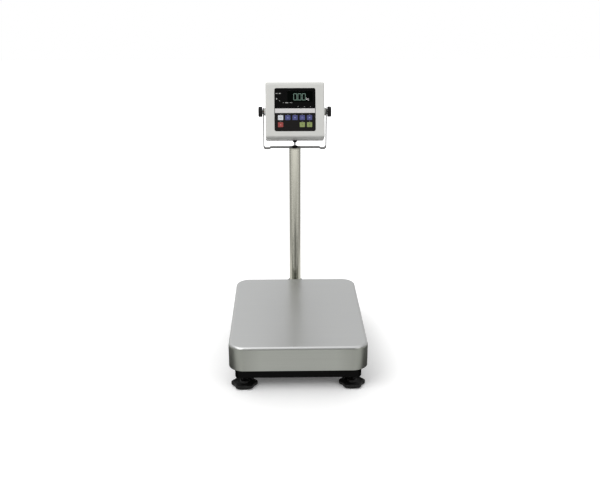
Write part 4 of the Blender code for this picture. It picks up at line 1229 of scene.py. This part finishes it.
def mirrored(piece, name):
    """A copy on the other side of the middle, with its faces turned right side out."""
    twin = copy_of(piece, name)
    twin.data.transform(Matrix.Scale(-1, 4, (1, 0, 0)))
    twin.data.flip_normals()
    return twin


for side in ("left", "right"):
    make = mirrored if side == "left" else copy_of
    hand_over(make(knob, f"fluted_knob_{side}"), nylon, f"clamp_knob_{side}", "black_nylon",
              f"clamp_knob_{side}", smooth=40)
    hand_over(make(stud, f"clamp_stud_{side}"), zinc, f"clamp_knob_{side}", "zinc_plated_steel")
for pattern in (knob, stud):
    bpy.data.objects.remove(pattern)

# %% [markdown]
# ## Acetal spacers
# A slippery acetal spacer keeps the case off the bracket on each side. Acetal is milky and soft in
# its shine, and lets a little light in below its skin.

# %% Acetal spacers
acetal = start_finish("turned_acetal", "c6c7c2", 0.42, Subsurface_Weight=0.1, Subsurface_Scale=0.001)
vary(acetal, 600, roughness=(0.36, 0.5))
spacer_low, spacer_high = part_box("pivot_spacer_right")


def turned(name, radius, low, high, at, along, rim):
    """A turned disc with its far rim rounded."""
    piece = disc(name, radius, low, high, at, along)
    edit(piece)
    round_edges(piece, rim, 3, **{along.lower(): high})
    done()
    return piece


spacer = turned("acetal_spacer", 0.0120, spacer_low.x, spacer_high.x, AXIS, "X", 0.0010)
cut_with(spacer, disc("bore", CLAMP_BORE, 0.08, 0.12, AXIS, "X", 32))
soften(spacer, 0.0003)
for side in ("left", "right"):
    make = mirrored if side == "left" else copy_of
    hand_over(make(spacer, f"acetal_spacer_{side}"), acetal, "indicator", "grey_acetal",
              f"pivot_spacer_{side}")
bpy.data.objects.remove(spacer)

# %% [markdown]
# ## Gland, grommet and cable
# The load cell's cable comes up inside the column, through a rubber grommet, and into a gland in the
# case's underside. The gland has a hexagon and a dome nut that tapers, the grommet a rounded brim.

# %% Gland and grommet
BRIM_LOW, BRIM_HIGH = 0.5703, 0.5716
CABLE_BORE = 0.0028
gland = disc("gland_hexagon", 0.0080, -TALL - 0.0022, -TALL - 0.0003, GLAND, "Z", 6)
soften(gland, 0.0003)
fuse(gland, disc("gland_thread", 0.0060, -TALL - 0.0010, -TALL + 0.0085, GLAND, "Z", 32))
dome = disc("gland_dome", 0.0066, -TALL - 0.0036, -TALL - 0.0018, GLAND, "Z", 40)
edit(dome)
end = -TALL - 0.0036
pick_at(dome, "FACE", z=end)
for length, share in ((-0.0006, 0.95), (-0.0006, 0.9), (-0.0005, 0.86), (-0.0002, 0.85)):
    grow(length, share, (*GLAND, 0))
done()
fuse(gland, dome)
cut_with(gland, disc("gland_bore", CABLE_BORE, -0.12, -0.07, GLAND, "Z", 24))
gland.data.transform(HEAD)
gland.name = "dome_gland"
hand_over(gland, nylon, "indicator", "black_nylon", "cable_gland")

grommet_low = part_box("cable_grommet")[0]
grommet = disc("grommet_brim", 0.0100, BRIM_LOW, BRIM_HIGH, COLUMN, "Z", 48)
edit(grommet)
pick_at(grommet, "FACE", z=BRIM_HIGH)
for length, share in ((0.0006, 0.96), (0.0006, 0.92), (0.0006, 0.82), (0.0006, 0.76)):
    grow(length, share, (*COLUMN, 0))
pick_at(grommet, "FACE", z=BRIM_LOW)
grow(0, 0.66, (*COLUMN, BRIM_LOW))
grow(grommet_low.z - BRIM_LOW, 0.94, (*COLUMN, 0))
done()
cut_with(grommet, disc("grommet_bore", CABLE_BORE, 0.5, 0.6, COLUMN, "Z", 24))
hand_over(grommet, rubber, "base", "black_rubber", "cable_grommet")

# %% [markdown]
# The cable's free length between grommet and gland bends as the indicator tilts. It is a smooth
# curve with a round section, made a mesh.
# PVC sheath is dull and slightly mottled, with faint rings from its twisted cores.

# %% The cable
pvc = start_finish("dark_pvc_sheath", "1a1a1a", 0.55)
vary(pvc, 800, tones=("161616", "1e1e1e"), relief=(0.12, 0.0003))
dress(pvc, "load_cell_cable")

neck_start = Vector((0, COLUMN[1], 0.5743))
gland_mouth = HEAD @ Vector((*GLAND, -0.0940))
neck_end = HEAD @ Vector((*GLAND, -0.0850))
route = [
    neck_start,
    Vector((0, COLUMN[1] - 0.0003, 0.5765)),
    HEAD @ Vector((*GLAND, -0.0965)),
    gland_mouth,
    neck_end,
]
bpy.ops.object.select_all(action="DESELECT")
curve = bpy.data.curves.new("cable_neck_curve", "CURVE")
curve.dimensions = "3D"
curve.bevel_depth = 0.0025
curve.bevel_resolution = 6
curve.resolution_u = 10
curve.use_fill_caps = True
spline = curve.splines.new("BEZIER")
spline.bezier_points.add(len(route) - 1)
for point, at in zip(spline.bezier_points, route):
    point.co = at
    point.handle_left_type = "AUTO"
    point.handle_right_type = "AUTO"
neck = bpy.data.objects.new("cable_free_length", curve)
bpy.context.collection.objects.link(neck)
only(neck)
bpy.ops.object.convert(target="MESH")
neck = bpy.context.object
edit(neck)
bpy.ops.mesh.select_all(action="SELECT")
bpy.ops.mesh.remove_doubles(threshold=0.00001)
done()
bpy.ops.object.shade_smooth()
neck.data.materials.append(pvc)
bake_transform(neck)
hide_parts("cable_neck")
print("free cable:", len(neck.data.polygons), "faces")

# %% [markdown]
# ## The round level
# A bubble level on the bracket's tab tells when the feet are set. Its body is a turned cup, the vial
# is a disc of clear green fluid under a ring mark, and the bubble is a flattened ball of air.

# %% The round level
fluid = start_finish("green_level_fluid", "c3d45e", 0.05, Coat_Weight=1.0)
vary(fluid, 120, 1, tones=("b9cc52", "cfdd72"))
cup_low, cup_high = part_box("level_housing")
LEVEL = ((cup_low.x + cup_high.x) / 2, (cup_low.y + cup_high.y) / 2)
cup = turned("level_cup", 0.0100, cup_low.z, cup_high.z, LEVEL, "Z", 0.0008)
cut_with(cup, disc("cup_bore", 0.0075, cup_low.z - 0.01, cup_high.z + 0.01, LEVEL, "Z", 64))
soften(cup, 0.0002)
hand_over(cup, nylon, "base", "black_nylon", "level_housing")
vial_low, vial_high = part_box("level_vial")
vial = turned("level_vial_disc", 0.0072, vial_low.z, vial_high.z, LEVEL, "Z", 0.0006)
hand_over(vial, fluid, "base", "level_vial", "level_vial")
mark = disc("level_ring", 0.0036, vial_high.z - INK, vial_high.z + INK, LEVEL, "Z", 48)
cut_with(mark, disc("inside", 0.0031, 0, 0.2, LEVEL, "Z", 48))
hand_over(mark, dark_ink, "base", "overlay_black")
bubble = add("level_bubble", bpy.ops.mesh.primitive_uv_sphere_add, segments=32, ring_count=16,
             radius=0.0024, location=(*LEVEL, vial_high.z))
edit(bubble)
bpy.ops.mesh.select_all(action="SELECT")
bpy.ops.transform.resize(value=(1, 1, 0.12), center_override=(*LEVEL, vial_high.z))
done()
hand_over(bubble, fluid, "base", "level_vial", smooth=180)

# %% [markdown]
# ## The pieces that stay
# Everything else keeps its shape from the frame. The load cell and its spacer are milled aluminium,
# anodised, with the cutter's faint marks along them. The boards are glass-fibre laminate under green
# lacquer.

# %% Aluminium, laminate and dark glass
aluminium = start_finish("anodised_aluminium", "b3b6b9", 0.4, 1.0)
tree, shader, coords = inside(aluminium)
lengthways = add_node(tree, "Mapping", {"Vector": coords, "Scale": (1.0, 0.04, 1.0)})
vary(aluminium, 900, at=lengthways, tones=("a6a9ac", "c0c3c6"))
dress(aluminium, "cell_spacer")

laminate = start_finish("lacquered_glass_laminate", "1f4a33", 0.35)
vary(laminate, 1000, 1, tones=("1a422c", "24543b"))
dress(laminate, "display_board", "main_board")

dark_glass = start_finish("dark_display_glass", "1b2321", 0.12)
vary(dark_glass, 90, roughness=(0.08, 0.18))
dress(dark_glass, "display_module")

dress(rubber, "housing_gasket", *[f"pan_pad_{number}" for number in range(1, 5)])
dress(nylon, "gland_lock_nut")
fasteners = [name for name in frame["nodes"] if any(kind in name for kind in ("bolt", "screw", "washer"))]
dress(zinc, *fasteners)

# %% [markdown]
# ## The load cell
# A load cell is a bar that bends a little under a load: one end is bolted down, and the other end
# goes down with the spider, by less than a millimetre. Its shape is right in the frame, so a copy of
# it is merged and cut across into short lengths between its two ends.

# %% The load cell
fixed_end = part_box("cell_spacer")[1].y
free_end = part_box("cell_top_bolt_1")[0].y - 0.006
cell = copy_of(frame["nodes"]["load_cell"], "bending_load_cell")
edit(cell)
bpy.ops.mesh.select_all(action="SELECT")
bpy.ops.mesh.remove_doubles(threshold=0.000001)
CUTS = 8
for number in range(CUTS + 1):
    bpy.ops.mesh.select_all(action="SELECT")
    across = fixed_end + number / CUTS * (free_end - fixed_end)
    bpy.ops.mesh.bisect(plane_co=(0, across, 0), plane_no=(0, 1, 0))
done()
bpy.ops.object.shade_smooth_by_angle(angle=math.radians(30))
cell.data.materials.clear()
cell.data.materials.append(aluminium)
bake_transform(cell)
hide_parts("load_cell")
print("load cell:", len(cell.data.polygons), "faces")
